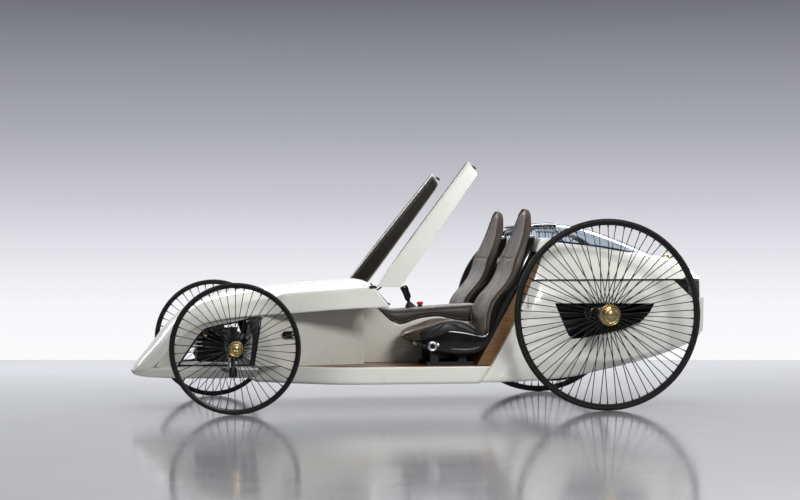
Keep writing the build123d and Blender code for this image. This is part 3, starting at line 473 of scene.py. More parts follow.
def tyre_piece(name, size, place, body):
    radius, half = size["radius"], size["width"] / 2
    seat, depth = radius - size["depth"], size["depth"]
    profile = [
        (seat, -half * 0.75), (seat + depth * 0.14, -half * 0.98), (seat + depth * 0.45, -half),
        (seat + depth * 0.72, -half * 0.86), (radius - depth * 0.1, -half * 0.55),
        (radius - 0.6, -half * 0.4), (radius - 2.2, -half * 0.36), (radius - 2.2, -half * 0.28),
        (radius - 0.2, -half * 0.24), (radius, 0), (radius - 0.2, half * 0.24), (radius - 2.2, half * 0.28),
        (radius - 2.2, half * 0.36), (radius - 0.6, half * 0.4), (radius - depth * 0.1, half * 0.55),
        (seat + depth * 0.72, half * 0.86), (seat + depth * 0.45, half), (seat + depth * 0.14, half * 0.98),
        (seat, half * 0.75),
    ]
    rows = []
    for i, angle in enumerate(angles(TREAD_STEPS)):
        row = []
        for k, (r, h) in enumerate(profile):
            if i % 4 == 0 and k in (4, 5, 13, 14):
                r -= TREAD_DEPTH
            row.append(place @ polar(r, angle, h))
        rows.append(row)
    points, faces = grid(rows, closed=True, wrap=True)
    return facing_out(new_mesh(name, points, faces, RUBBER, body))


def rim_profile(size):
    seat = size["radius"] - size["depth"]
    inner = seat - size["rim_depth"]
    half = size["rim_width"] / 2
    return [
        (inner, -half * 0.45), (inner + 1.5, -half * 0.7), (inner + 5, -half * 0.95), (seat - 3, -half),
        (seat - 2.2, -half * 0.86), (seat - 1.2, -half), (seat, -half), (seat, half), (seat - 1.2, half),
        (seat - 2.2, half * 0.86), (seat - 3, half), (inner + 5, half * 0.95), (inner + 1.5, half * 0.7),
        (inner, half * 0.45),
    ]


def spokes_piece(name, size, place, body):
    rim = size["radius"] - size["depth"] - size["rim_depth"]
    runs = []

    def add(start, end, radius):
        runs.append((place @ (start / 1000), place @ (end / 1000), radius / 1000))

    for index in range(size["spokes"]):
        angle = 2 * math.pi * (index + 0.5) / size["spokes"]
        height = size["outer"] if index % 2 == 0 else -size["inner"]
        along = Vector((math.cos(angle), math.sin(angle), 0))
        start = along * (size["flange"] - 7) + Vector((0, 0, height))
        end = along * (rim + 3) + Vector((0, 0, 4 if index % 2 == 0 else -4))
        unit = (end - start).normalized()
        add(start, end, size["spoke"])
        add(end - unit * 16, end + unit * 2, size["spoke"] * 1.7)
        head = start + Vector((0, 0, 2.5 if height > 0 else -2.5))
        add(head, start + unit * 6, size["spoke"] * 1.5)
    return bars(name, runs, BLACK_STEEL, body)


def wheel(corner, size, side, station, track):
    body = f"wheel_{corner}"
    place = outward(station, side * track / 2, size["radius"], side)
    tyre = tyre_piece(f"tyre_tread_{corner}", size, place, body)
    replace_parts(tyre, f"tyre_{corner}")
    rim = sharp_by_angle(turned(f"rim_{corner}", rim_profile(size), place, BLACK_STEEL, body, 192, True), 40)
    spokes = spokes_piece(f"spokes_{corner}", size, place, body)
    wire = joined(f"rim_and_spokes_{corner}", [rim, spokes])
    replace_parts(wire, f"wire_wheel_{corner}")
    barrel, flange, cap = size["barrel"], size["flange"], size["cap"]
    back = -size["inboard"]
    inner, outer = -size["inner"], size["outer"]
    body_profile = [
        (17, back), (barrel - 3, back), (barrel, back + 3), (barrel, inner - 14), (barrel + 5, inner - 9),
        (flange - 2, inner - 5), (flange, inner - 3), (flange, inner + 3), (flange - 2, inner + 5),
        (barrel + 3, inner + 9), (barrel - 4, inner + 22), (barrel - 7, 0), (barrel - 4, outer - 18),
        (barrel + 3, outer - 9), (flange - 2, outer - 5), (flange, outer - 3), (flange, outer + 3),
        (flange - 3, outer + 5), (cap * 0.7, outer + 6), (17, outer + 6),
    ]
    hub = sharp_by_angle(turned(f"hub_barrel_{corner}", body_profile, place, BLACK_STEEL, body, 64), 40)
    top = size["cap_y"]
    cap_profile = [
        (cap * 0.96, outer + 5), (cap, outer + 7), (cap, outer + 12), (cap * 0.965, outer + 14),
        (cap * 0.93, outer + 13), (cap * 0.9, outer + 10), (cap * 0.8, outer + 10.5),
        (cap * 0.77, outer + 13), (cap * 0.73, outer + 15), (cap * 0.68, top - 11), (cap * 0.62, top - 7),
        (cap * 0.57, top - 6), (cap * 0.53, top - 8), (cap * 0.4, top - 8), (cap * 0.37, top - 5),
        (cap * 0.33, top - 2), (cap * 0.22, top - 0.8), (cap * 0.18, top - 3), (cap * 0.12, top - 3.4),
        (cap * 0.1, top - 1), (0, top - 0.5),
    ]
    brass = sharp_by_angle(turned(f"hub_cap_{corner}", cap_profile, place, BRASS, body, 96), 30)
    collar_profile = [
        (barrel - 2, inner + 24), (barrel + 2, inner + 26), (barrel + 2, inner + 34),
        (barrel - 3, inner + 38), (barrel - 3, inner + 60), (barrel + 1, inner + 63),
        (barrel + 1, inner + 70), (barrel - 5, inner + 73),
    ]
    collar = sharp_by_angle(turned(f"hub_collar_{corner}", collar_profile, place, BRASS, body, 64), 30)
    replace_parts(brass, f"hub_{corner}")


for end_name, size, station, track in (
    ("front", FRONT_WHEEL, 0, FRONT_TRACK), ("rear", REAR_WHEEL, WHEELBASE, REAR_TRACK),
):
    for side_name, side in SIDES:
        wheel(f"{end_name}_{side_name}", size, side, station, track)


# White shells: nets of stations smoothed by subdivision, with creased edges
def shell(name, stations, creases, material, body, levels=3, thick=0.0, closed=False, caps=()):
    # stations hold a station and its (y, z) or (y, z, shift) from the top centre out and down
    rows = []
    for station, half in stations:
        spots = [(p[0], p[1], p[2] if len(p) > 2 else 0) for p in half]
        right = [at(station + shift, y, z) for y, z, shift in spots]
        left = [at(station + shift, -y, z) for y, z, shift in reversed(spots) if y > 0.01]
        rows.append(left + right)
    points, faces = grid(rows, closed=closed)
    width = len(rows[0])
    middle = sum(1 for p in stations[0][1] if p[0] > 0.01)
    for row in caps:
        faces.append(tuple(range(row % len(rows) * width, row % len(rows) * width + width)))
    piece = facing_out(new_mesh(name, points, faces, material, None))
    last = len(rows) - 1

    def rule(a, b):
        if a // width == b // width:
            row = a // width
            return max(creases.get(("row", row), 0), creases.get(("row", row - last - 1), 0))
        if a % width == b % width:
            return creases.get(abs(a % width - middle), 0)
        return 0

    crease(piece, rule)
    modifier(piece, "SUBSURF", levels=levels, render_levels=levels)
    if thick:
        modifier(piece, "SOLIDIFY", thickness=thick, offset=-1)
    applied(piece)
    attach(piece, body)
    return piece


def cut(piece, *cutters):
    # Takes closed pieces out of another and removes them
    for cutter in cutters:
        modifier(piece, "BOOLEAN", operation="DIFFERENCE", solver="EXACT", object=cutter)
        applied(piece)
        bpy.data.objects.remove(cutter)
    return sharp_by_angle(smoothed(piece), 32)


def recessed(piece, contour, depth, soft, beyond=200):
    # Sets a piece's flanks in by depth within a side-view contour, softly at its edge
    flat = [Vector(((FRONT_X + s) / 1000, z / 1000)) for s, z in contour]
    count = len(flat)
    for vertex in piece.data.vertices:
        if abs(vertex.co.y) < beyond / 1000:
            continue
        spot = Vector((vertex.co.x, vertex.co.z))
        inside = False
        nearest = 1e9
        for i in range(count):
            a, b = flat[i], flat[(i + 1) % count]
            crosses = (a.y > spot.y) != (b.y > spot.y)
            if crosses and spot.x < (b.x - a.x) * (spot.y - a.y) / (b.y - a.y) + a.x:
                inside = not inside
            run = b - a
            t = max(0, min(1, (spot - a).dot(run) / run.length_squared))
            nearest = min(nearest, (spot - a - run * t).length)
        gone = nearest if inside else -nearest
        share = max(0, min(1, gone / soft + 0.5))
        share = share * share * (3 - 2 * share)
        if share:
            vertex.co.y -= math.copysign(depth * share, vertex.co.y)
    return piece


# Front shell: nose and cowl in one skin, open below, its rear edge slanting like the doors' ends
# station, top, crown half width, crown height, shoulder half width and height, edge half width and height
FRONT_NET = [
    (-583, 236, 98, 234, 110, 226, 116, 214),
    (-572, 272, 118, 266, 138, 250, 146, 232),
    (-521, 338, 142, 324, 176, 284, 192, 246),
    (-460, 407, 160, 392, 208, 326, 236, 254),
    (-390, 510, 176, 492, 236, 428, 272, 352),
    (-317, 588, 196, 570, 264, 506, 316, 438),
    (-193, 687, 235, 669, 305, 604, 360, 532),
    (-80, 719, 262, 702, 330, 636, 390, 562),
    (60, 750, 300, 734, 366, 664, 416, 583),
    (200, 765, 330, 751, 414, 690, 444, 594),
    (290, 777, 350, 762, 500, 703, 500, 602),
    (325, 783, 366, 767, 530, 728, 530, 604),
    (356, 788, 380, 772, 538, 733, 546, 606),
    (612, 807, 440, 794, 625, 754, 648, 631),
    (760, 815, 470, 802, 652, 764, 673, 640),
]
EDGE_SLOPE = (980 - 885) / (774 - 648)


def front_half(top, crown, crown_z, shoulder, shoulder_z, edge, edge_z, slant=False):
    half = [
        (0, top), (crown * 0.55, top - (top - crown_z) * 0.35), (crown, crown_z), (shoulder, shoulder_z),
        (edge, edge_z), (edge - 26, edge_z - 4),
    ]
    if slant:
        half = [(y, z, (774 - z) * EDGE_SLOPE) for y, z in half]
    return half


front_stations = [(row[0], front_half(*row[1:])) for row in FRONT_NET]
front_stations.append((800, front_half(818, 480, 805, 664, 769, 689, 646, True)))
front_stations.append((884, front_half(821, 490, 808, 677, 774, 699, 648, True)))
front_shell = shell(
    "front_shell", front_stations,
    {2: 0.2, 3: 0.7, 4: 0.95, 5: 1.0, ("row", 0): 0.4, ("row", -1): 1.0, ("row", 10): 0.25},
    WHITE, "chassis", 3, 0.014,
)
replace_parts(front_shell, "nose_shell", "cowl")

# Chin beam under the nose
CHIN_NET = [
    (-584, 226, 104, 222, 92, 210), (-574, 246, 126, 232, 108, 202), (-521, 256, 192, 246, 168, 194),
    (-390, 256, 274, 250, 240, 190), (-193, 256, 362, 250, 326, 190), (0, 256, 404, 250, 330, 190),
    (182, 256, 437, 250, 292, 190),
]
chin = shell(
    "chin_skin",
    [(s, [(0, top + 12), (wide - 30, top + 10), (wide - 4, top), (wide, wide_z), (narrow + 6, low + 8),
          (narrow - 12, low), (0, low)]) for s, top, wide, wide_z, narrow, low in CHIN_NET],
    {1: 0.8, 2: 0.8, 3: 0.6, 4: 0.6, 5: 0.5, ("row", 0): 0.3, ("row", -1): 1.0},
    WHITE, "chassis", 3, closed=True, caps=(0, -1),
)
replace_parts(chin, "chin_beam")

# Recessed flanks of the nose with the see-through window
WINDOW = [(-312, FLOOR_Z), (-198, 455), (-128, 515), (206, 582), (160, FLOOR_Z)]


def interpolated(table, station, column):
    for first, second in zip(table, table[1:]):
        if first[0] <= station <= second[0]:
            t = (station - first[0]) / (second[0] - first[0])
            return first[column] + (second[column] - first[column]) * t
    return table[-1][column] if station > table[-1][0] else table[0][column]


for side_name, side in SIDES:
    rows = []
    for k in range(25):
        station = -452 + k * (240 + 452) / 24
        edge = interpolated(FRONT_NET, station, 6)
        edge_z = interpolated(FRONT_NET, station, 7)
        low = interpolated(CHIN_NET, station, 2) if station < 182 else 437
        inset = min(30, (station + 452) * 0.5)
        row = []
        for t in (0, 0.25, 0.5, 0.75, 1):
            y = edge - inset + (low - edge) * t - 2
            row.append(at(station, side * y, edge_z - 2 + (262 - edge_z + 2) * t))
        rows.append(row)
    points, faces = grid(rows)
    # The flank takes the darker white copy: painted shade under the cowl's overhang
    flank = facing_out(new_mesh(f"nose_flank_{side_name}", points, faces, WHITE_PAINTED_SHADE, None))
    modifier(flank, "SOLIDIFY", thickness=0.008, offset=0)
    applied(flank)
    cut(flank, prism("window_cutter", WINDOW, -900, 900, BLACK_SATIN, None))
    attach(flank, "chassis")

# Floor tub: sills with soft upper edges, narrowing forward under the nose
TUB_PLAN = [
    (181, 300), (228, 335), (400, 505), (600, 668), (740, 700), (1000, 700), (1300, 700), (1480, 700),
]
TUB_SLOPE = (1648 - 1556) / (291 - 163)


def tub_half(y):
    lean = 1 if y > 690 else 1.35
    return [
        (0, 258), (y - 46 * lean, 258), (y - 42 * lean, 270), (y - 38 * lean, 272), (y - 4 * lean, 272),
        (y, 268), (y - 3 * lean, 240), (y - 8 * lean, 178), (y - 20 * lean, 164), (y - 40 * lean, 163),
        (0, 163),
    ]


tub_stations = [(s, tub_half(y)) for s, y in TUB_PLAN]
tub_stations.append((1552, [(y, z, (z - 163) * TUB_SLOPE) for y, z in tub_half(700)]))
tub = shell(
    "tub_skin", tub_stations,
    {2: 0.5, 3: 0.5, 4: 0.8, 5: 0.8, 7: 0.7, 8: 0.7, 9: 0.5, ("row", 0): 1.0, ("row", -1): 1.0}, WHITE,
    "chassis", 2, closed=True, caps=(0, -1),
)
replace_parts(tub, "floor_tub")


# Soft pieces: moulded leather forms puffed by cloth pressure, with sewn grooves, piping and stitches
STITCH_SPACING = 0.011
STITCH_LENGTH = 0.0065
STITCH_RADIUS = 0.0009


def puffed(piece, pressure, cap, frames=14):
    # Swells a closed form as a padded cover does, no point moving further than cap
    rest = [vertex.co.copy() for vertex in piece.data.vertices]
    cloth = modifier(piece, "CLOTH")
    for setting, value in (
        ("quality", 5), ("mass", 0.3), ("tension_stiffness", 30), ("compression_stiffness", 30),
        ("shear_stiffness", 15), ("bending_stiffness", 4), ("use_pressure", True),
        ("uniform_pressure_force", pressure),
    ):
        setattr(cloth.settings, setting, value)
    cloth.settings.effector_weights.gravity = 0
    cloth.point_cache.frame_start = 1
    cloth.point_cache.frame_end = frames
    for frame_number in range(1, frames + 1):
        bpy.context.scene.frame_set(frame_number)
    applied(piece)
    bpy.context.scene.frame_set(1)
    for vertex, start in zip(piece.data.vertices, rest):
        moved = vertex.co - start
        if moved.length > cap:
            vertex.co = start + moved * (cap / moved.length)
    return piece


def surface_of(piece):
    work = bmesh.new()
    work.from_mesh(piece.data)
    tree = BVHTree.FromBMesh(work)
    work.free()
    return tree


def laid_on(tree, path, lift):
    # Points of a path moved onto a surface and lifted off it
    made = []
    for point in path:
        spot, normal, _, _ = tree.find_nearest(point)
        made.append(spot + normal * lift)
    return made


def grooved(piece, path, depth, width):
    # Presses a sewn channel into a surface along a path
    tree = KDTree(len(path))
    for i, point in enumerate(path):
        tree.insert(point, i)
    tree.balance()
    for vertex in piece.data.vertices:
        _, _, distance = tree.find(vertex.co)
        if distance < 3 * width:
            vertex.co -= vertex.normal * depth * math.exp(-((distance / width) ** 2))
    return piece


def stitched(name, tree, path, offset, body):
    # Rows of stitches at both sides of a seam, or on it where offset is nothing
    runs = []
    total = 0.0
    due = 0.0
    for a, b in zip(path, path[1:]):
        step = b - a
        while due <= total + step.length and step.length > 0:
            start = a + step * ((due - total) / step.length)
            _, normal, _, _ = tree.find_nearest(start)
            along = step.normalized()
            across = along.cross(normal).normalized()
            for way in ((-1, 1) if offset else (0,)):
                begun = start + across * (way * offset)
                first, last = laid_on(tree, [begun, begun + along * STITCH_LENGTH], STITCH_RADIUS * 0.6)
                runs.append((first, last, STITCH_RADIUS))
            due += STITCH_SPACING
        total += step.length
    return bars(name, runs, THREAD, body)


def sewn(form, name, path, depth, width, offset, body):
    # Presses a seam into a leather form and lays its stitches
    seam = laid_on(surface_of(form), path, 0.0)
    grooved(form, seam, depth, width)
    stitched(name, surface_of(form), seam, offset, body)


def lerp(a, b, t):
    return tuple(p + (q - p) * t for p, q in zip(a, b))


def loop_form(name, loops, creases, material, body, levels):
    # A closed form from closed rings of points, capped at both ends
    points, faces = grid(loops, closed=True)
    width = len(loops[0])
    faces.append(tuple(reversed(range(width))))
    faces.append(tuple(range((len(loops) - 1) * width, len(loops) * width)))
    piece = facing_out(new_mesh(name, points, faces, material, body))

    def rule(a, b):
        if a % width == b % width:
            return creases.get(a % width, 0)
        return 0

    crease(piece, rule)
    modifier(piece, "SUBSURF", levels=levels, render_levels=levels)
    return applied(piece)


SEAT_Y = 399
# Backs, from the bottom up: crest of the bolsters, floor of the channel, rear face, half width
BACK_ROWS = [
    ((1608, 438), (1616, 440), (1634, 438), 205),
    ((1603, 500), (1632, 498), (1645, 498), 224),
    ((1600, 556), (1641, 548), (1654, 552), 229),
    ((1606, 604), (1657, 600), (1668, 598), 230),
    ((1635, 677), (1690, 677), (1700, 672), 230),
    ((1684, 742), (1728, 739), (1742, 734), 230),
    ((1738, 803), (1772, 803), (1790, 798), 230),
    ((1772, 868), (1806, 868), (1826, 867), 230),
    ((1790, 944), (1832, 942), (1856, 942), 226),
    ((1816, 998), (1852, 1000), (1878, 1000), 212),
    ((1850, 1080), (1874, 1082), (1906, 1084), 176),
    ((1869, 1140), (1888, 1142), (1922, 1142), 148),
    ((1886, 1215), (1899, 1215), (1931, 1215), 108),
    ((1897, 1256), (1906, 1256), (1930, 1254), 74),
    ((1908, 1275), (1914, 1275), (1924, 1273), 38),
]
BACK_CREST = 4
# Cushions, from the front: station, bolster height, channel height, lower height, half width
CUSHION_ROWS = [
    (1106, 460, 462, 450, 60), (1114, 474, 476, 438, 118), (1136, 488, 484, 431, 160),
    (1172, 504, 486, 430, 192), (1218, 520, 486, 434, 216), (1268, 536, 484, 444, 228),
    (1320, 549, 482, 458, 230), (1370, 557, 480, 460, 230), (1422, 557, 476, 452, 230),
    (1484, 545, 468, 446, 230), (1542, 514, 458, 438, 228), (1578, 482, 452, 434, 220),
]
CUSHION_CREST = 4


def back_half(front, channel, rear, half):
    crest_in = lerp(channel, front, 0.92)
    return [
        (0, channel), (half * 0.38, lerp(channel, front, 0.04)), (half * 0.66, lerp(channel, front, 0.42)),
        (half * 0.84, crest_in), (half * 0.93, front), (half * 0.99, lerp(front, rear, 0.22)),
        (half, lerp(front, rear, 0.55)), (half * 0.98, lerp(front, rear, 0.93)), (half * 0.86, rear),
        (half * 0.4, rear), (0, rear),
    ]


def cushion_half(station, top, channel, low, half):
    height = top - low
    return [
        (0, (station, channel)), (half * 0.4, (station, channel + 2)),
        (half * 0.64, (station, channel + (top - channel) * 0.45)), (half * 0.82, (station, top - 3)),
        (half * 0.91, (station, top)), (half * 0.985, (station, top - height * 0.24)),
        (half, (station, top - height * 0.55)), (half * 0.975, (station, low + 4)),
        (half * 0.86, (station, low)), (half * 0.4, (station, low)), (0, (station, low)),
    ]


def seat_loops(halves, centre):
    loops = []
    for half in halves:
        right = [at(spot[0], centre + y, spot[1]) for y, spot in half]
        left = [at(spot[0], centre - y, spot[1]) for y, spot in reversed(half[1:-1])]
        loops.append(right + left)
    return loops


def seat(side_name, side):
    centre = side * SEAT_Y
    for part, halves, crest, neck in (
        ("back", [back_half(*row) for row in BACK_ROWS], BACK_CREST, True),
        ("cushion", [cushion_half(*row) for row in CUSHION_ROWS], CUSHION_CREST, False),
    ):
        loops = seat_loops(halves, centre)
        width = len(loops[0])
        name = f"seat_{part}_leather_{side_name}"
        creases = {crest: 0.55, width - crest: 0.55, 7: 0.3, width - 7: 0.3}
        form = puffed(loop_form(name, loops, creases, LEATHER, "chassis", 2), 3.0, 0.005)
        modifier(form, "SUBSURF", levels=1, render_levels=1)
        applied(form)
        outer = [loop[crest] for loop in loops]
        inner = [loop[width - crest] for loop in loops]
        ends = slice(1, None) if neck else slice(0, -1)
        around = smooth_path(outer[ends] + list(reversed(inner[ends])) if neck
                             else list(reversed(outer[ends])) + inner[ends], 8)
        grooved(form, laid_on(surface_of(form), around, 0.0), 0.0025, 0.007)
        welt = laid_on(surface_of(form), around, 0.0025)
        # The piping's lighter colour is a painted highlight along the crest
        piping = swept(f"seat_{part}_piping_{side_name}", welt, 0.0048, PIPING_PAINTED_HIGHLIGHT, "chassis")
        seams = []
        if neck:
            seams.append([at(1830 - abs(y / 210) ** 3 * 40, centre + y, 950) for y in range(-208, 209, 8)])
            for way in (-1, 1):
                seams.append(
                    smooth_path(
                        [
                            at(1800, centre + way * 196, 950), at(1838, centre + way * 168, 1040),
                            at(1866, centre + way * 122, 1130), at(1886, centre + way * 78, 1215),
                            at(1900, centre + way * 40, 1262),
                        ],
                        12,
                    ),
                )
        else:
            for way in (-1, 1):
                seams.append(
                    smooth_path(
                        [
                            at(1102, centre + way * 132, 484), at(1230, centre + way * 136, 486),
                            at(1400, centre + way * 136, 482), at(1560, centre + way * 132, 456),
                        ],
                        12,
                    ),
                )
            for station, z in ((1180, 484), (1290, 482), (1400, 476)):
                seams.append([at(station, centre + y, z) for y in range(-130, 131, 10)])
        for index, seam in enumerate(seams):
            sewn(form, f"seat_{part}_stitches_{side_name}_{index}", seam, 0.004, 0.006, 0.005, "chassis")
        form.data.materials.append(LEATHER_SIDE)
        for polygon in smoothed(form).data.polygons:
            beside = abs(polygon.center.y - centre / 1000)
            if not neck and beside > 0.85 * 0.23 and abs(polygon.normal.y) > 0.45:
                polygon.material_index = 1
        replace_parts(form, f"seat_{part}_{side_name}")


for side_name, side in SIDES:
    seat(side_name, side)


# Black seat shells: from under the cushion's front, down and up behind the back, open towards the leather
SHELL_ROWS = [
    # front (inner) line, rear (outer) line, half width
    ((1170, 426), (1160, 396), 150), ((1236, 440), (1232, 366), 200), ((1330, 462), (1325, 342), 226),
    ((1440, 452), (1452, 328), 234), ((1540, 440), (1560, 340), 236), ((1600, 437), (1628, 386), 236),
    ((1637, 470), (1664, 460), 236), ((1648, 540), (1700, 535), 236), ((1672, 640), (1748, 628), 236),
    ((1730, 730), (1800, 716), 236), ((1800, 800), (1846, 808), 235), ((1838, 880), (1880, 892), 232),
    ((1862, 945), (1908, 962), 224), ((1884, 1010), (1932, 1026), 206), ((1906, 1075), (1946, 1080), 182),
    ((1918, 1108), (1947, 1106), 160),
]


def shell_half(front, rear, half):
    wrap = lerp(front, rear, -0.35)
    return [
        (0, lerp(front, rear, 0.5)), (half * 0.55, lerp(front, rear, 0.5)),
        (half * 0.86, lerp(front, rear, 0.3)), (half * 0.945, wrap), (half * 0.985, lerp(wrap, rear, 0.04)),
        (half, lerp(front, rear, 0.2)), (half * 0.985, lerp(front, rear, 0.72)),
        (half * 0.88, lerp(front, rear, 0.97)), (half * 0.5, rear), (0, rear),
    ]


for side_name, side in SIDES:
    shell_form = loop_form(
        f"seat_shell_moulding_{side_name}",
        seat_loops([shell_half(*row) for row in SHELL_ROWS], side * SEAT_Y),
        {3: 0.6, 4: 0.6, 14: 0.6, 15: 0.6, 7: 0.35, 11: 0.35}, BLACK_GLOSS, "chassis", 3,
    )
    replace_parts(shell_form, f"seat_shell_{side_name}")


# Tunnel between the seats, and the leather console lying over it with a scalloped lower edge
CONSOLE_LOW = [
    (885, 670), (940, 664), (993, 626), (1035, 584), (1077, 547), (1108, 530), (1142, 523), (1178, 530),
    (1216, 546), (1262, 560), (1309, 568), (1360, 574), (1410, 572), (1460, 560), (1510, 548), (1570, 542),
    (1640, 540),
]
CONSOLE_TOP = [
    (885, 700), (940, 668), (993, 640), (1049, 626), (1104, 617), (1160, 620), (1216, 625), (1309, 633),
    (1430, 642), (1533, 648), (1620, 652),
]


tunnel_outline = [(878, 274), (878, 666)] + [(s, z - 3) for s, z in CONSOLE_LOW] + [(1690, 536), (1552, 274)]
# The tunnel takes the darker white copy: painted shade between the seats
tunnel = prism("tunnel_skin", tunnel_outline, -148, 148, WHITE_PAINTED_SHADE, "chassis", 0.005)
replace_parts(tunnel, "tunnel")

console_rows = []
for k in range(61):
    station = 990 + k * (1655 - 990) / 60
    low, top = interpolated(CONSOLE_LOW, station, 1), interpolated(CONSOLE_TOP, station, 1)
    low = min(low, top - 8)
    half = [
        (0, top + 2), (90, top + 1), (132, top - 3), (150, top - 16), (156, top - 34),
        (157, (top + low) / 2), (156, low + 8), (151, low), (140, low + 2), (0, low + 6),
    ]
    half = [(y, max(z, low + 1) if i < 6 else z) for i, (y, z) in enumerate(half)]
    console_rows.append([(y, (station, z)) for y, z in half])
console_loops = seat_loops(console_rows, 0)
console = loop_form("console_leather", console_loops, {7: 0.4, len(console_loops[0]) - 7: 0.4}, LEATHER_DARK,
                    "chassis", 2)
for way, edge in ((-1, "left"), (1, "right")):
    seam = [at(s, way * 156, interpolated(CONSOLE_LOW, s, 1) + 12) for s in range(1010, 1600, 8)]
    sewn(console, f"console_stitches_{edge}", seam, 0.0015, 0.005, 0, "chassis")
    top_seam = [at(s, way * 118, interpolated(CONSOLE_TOP, s, 1)) for s in range(1010, 1640, 8)]
    sewn(console, f"console_top_stitches_{edge}", top_seam, 0.002, 0.005, 0.005, "chassis")
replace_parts(console, "console_pad")

# Joystick: leather boot, jointed black stem and a hand grip with a thumb rest
STICK = at(1232, 0, 622)
stick_place = Matrix.Translation(STICK) @ Matrix.Rotation(math.radians(-14), 4, "Y")
boot = turned(
    "joystick_boot",
    [
        (0, 0), (40, 0), (42, 3), (37, 8), (31, 12), (33, 16), (25, 22), (26, 27), (18, 33), (17, 40),
        (0, 42),
    ],
    stick_place, LEATHER_DARK, "chassis", 48,
)
stem = sharp_by_angle(
    turned(
        "joystick_stem", [(0, 36), (11, 36), (11, 52), (15, 55), (15, 60), (12, 63), (0, 64)], stick_place,
        BLACK_STEEL, "chassis", 32,
    ),
    40,
)
grip_rows = []
for height, wide, deep, shift in (
    (58, 15, 17, 0), (66, 19, 22, 1), (82, 19, 24, 2), (100, 18, 23, -1), (118, 19, 24, -3),
    (136, 21, 27, -6), (148, 20, 26, -9), (156, 15, 19, -11),
):
    grip_rows.append([stick_place @ Vector(((shift + deep * math.cos(a)) / 1000, wide * math.sin(a) / 1000,
                                            (height + 3 * math.cos(a)) / 1000))
                      for a in angles(16)])
grip = loop_form("joystick_grip", grip_rows, {}, BLACK_GLOSS, "chassis", 2)
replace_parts(grip, "joystick")

# Red emergency button on a black collar
button_place = Matrix.Translation(at(1299, 0, 632)) @ Matrix.Rotation(math.radians(-5), 4, "Y")
collar = sharp_by_angle(
    turned(
        "button_collar", [(0, -2), (17, -2), (18, 1), (18, 6), (14, 8), (12, 14), (0, 14)], button_place,
        BLACK_SATIN, "chassis", 48,
    ),
    40,
)
knob = sharp_by_angle(
    turned(
        "button_head", [(0, 12), (14, 12), (19, 15), (20.5, 18), (20.5, 27), (19, 31), (14, 34), (0, 35)],
        button_place, RED, "chassis", 48,
    ),
    50,
)
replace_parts(knob, "stop_button")

# Dash panel in leather with a sewn band
dash_rows = []
for k in range(25):
    y = -646 + k * 1292 / 24
    bow = 8 * math.cos(y / 700 * math.pi / 2)
    reach = 122 if abs(y) < 600 else 112
    dash_rows.append([at(822 + (794 - z) * 0.72 - bow + d, y, z) for z, d in (
        (672, 2), (676, 8), (794 - reach / 2, 12), (786 - bow * 0.2, 8), (790, 2), (786 - bow * 0.2, -3),
        (794 - reach / 2, -2), (676, -3))])
dash = loop_form("dash_leather", dash_rows, {}, LEATHER_DARK, "chassis", 2)
dash_seam = [at(822 + 48 * 0.72 + 12, y, 746) for y in range(-620, 621, 8)]
sewn(dash, "dash_stitches", dash_seam, 0.0025, 0.006, 0.005, "chassis")
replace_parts(dash, "dash_panel")

# Ring knobs and adjusters at the seats' outer sides
for side_name, side in SIDES:
    face = side * (SEAT_Y + 236)
    knob_place = outward(1259, face, 398, side)
    ring = turned(
        f"seat_ring_{side_name}",
        [(16, 4), (14, 7), (14, 12), (17, 16), (24, 18), (30, 16), (33, 11), (32, 5), (28, 2), (20, 2)],
        knob_place, SILVER, "chassis", 64, True,
    )
    tab = prism(
        f"seat_ring_tab_{side_name}", [(1278, 412), (1300, 416), (1306, 410), (1303, 398), (1280, 392)],
        face + side * 6 if side < 0 else face + 4, face + side * 14 if side > 0 else face - 4, SILVER,
        "chassis", 0.003,
    )
    boss = sharp_by_angle(
        turned(
            f"seat_boss_{side_name}", [(0, 0), (22, 0), (22, 3), (15, 5), (13, 9), (0, 10)], knob_place,
            BLACK_GLOSS, "chassis", 48,
        ),
        40,
    )
    joined(f"seat_knob_{side_name}", [ring, tab])
    for index, (station, z, radius) in enumerate(((1186, 404, 15), (1212, 398, 13))):
        lever_place = outward(station, side * (SEAT_Y + 176), z, side)
        lever = turned(
            f"seat_adjuster_{side_name}_{index}",
            [
                (0, 0), (radius - 3, 0), (radius, 3), (radius, 16), (radius - 2, 19), (radius - 2, 26),
                (radius + 1, 29), (radius + 1, 40), (radius - 2, 43), (0, 44),
            ],
            lever_place, BLACK_SATIN, "chassis", 40,
        )
        sharp_by_angle(lever, 40)
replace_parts(bpy.data.objects["seat_knob_left"], "seat_knobs")


# Doors: white outer skins and leather inner panels, at rest as they stand in the photograph
HINGE = (893, 772)
DOOR_LEAN = math.tan(math.radians(10))
DOOR_OUTLINE = [
    (894, 773), (1180, 773), (1520, 771), (1872, 768), (1876, 760), (1851, 680), (1845, 674), (1520, 664),
    (1180, 654), (994, 649), (984, 651),
]
PAD_OUTLINE = [
    (926, 764), (940, 766), (1240, 766), (1560, 764), (1846, 761), (1858, 758), (1860, 750), (1843, 690),
    (1836, 684), (1560, 673), (1240, 664), (1010, 657), (996, 660), (990, 667),
]


def door_face(z, inward):
    return HALF_WIDTH - (z - 648) * DOOR_LEAN - inward


def opened(points, degrees):
    # Turns closed-door points about the hinge's axis to the door's rest
    centre = at(HINGE[0], 0, HINGE[1])
    turn = Matrix.Rotation(math.radians(-degrees), 4, "Y")
    place = Matrix.Translation(centre) @ turn @ Matrix.Translation(-centre)
    return [place @ p for p in points]


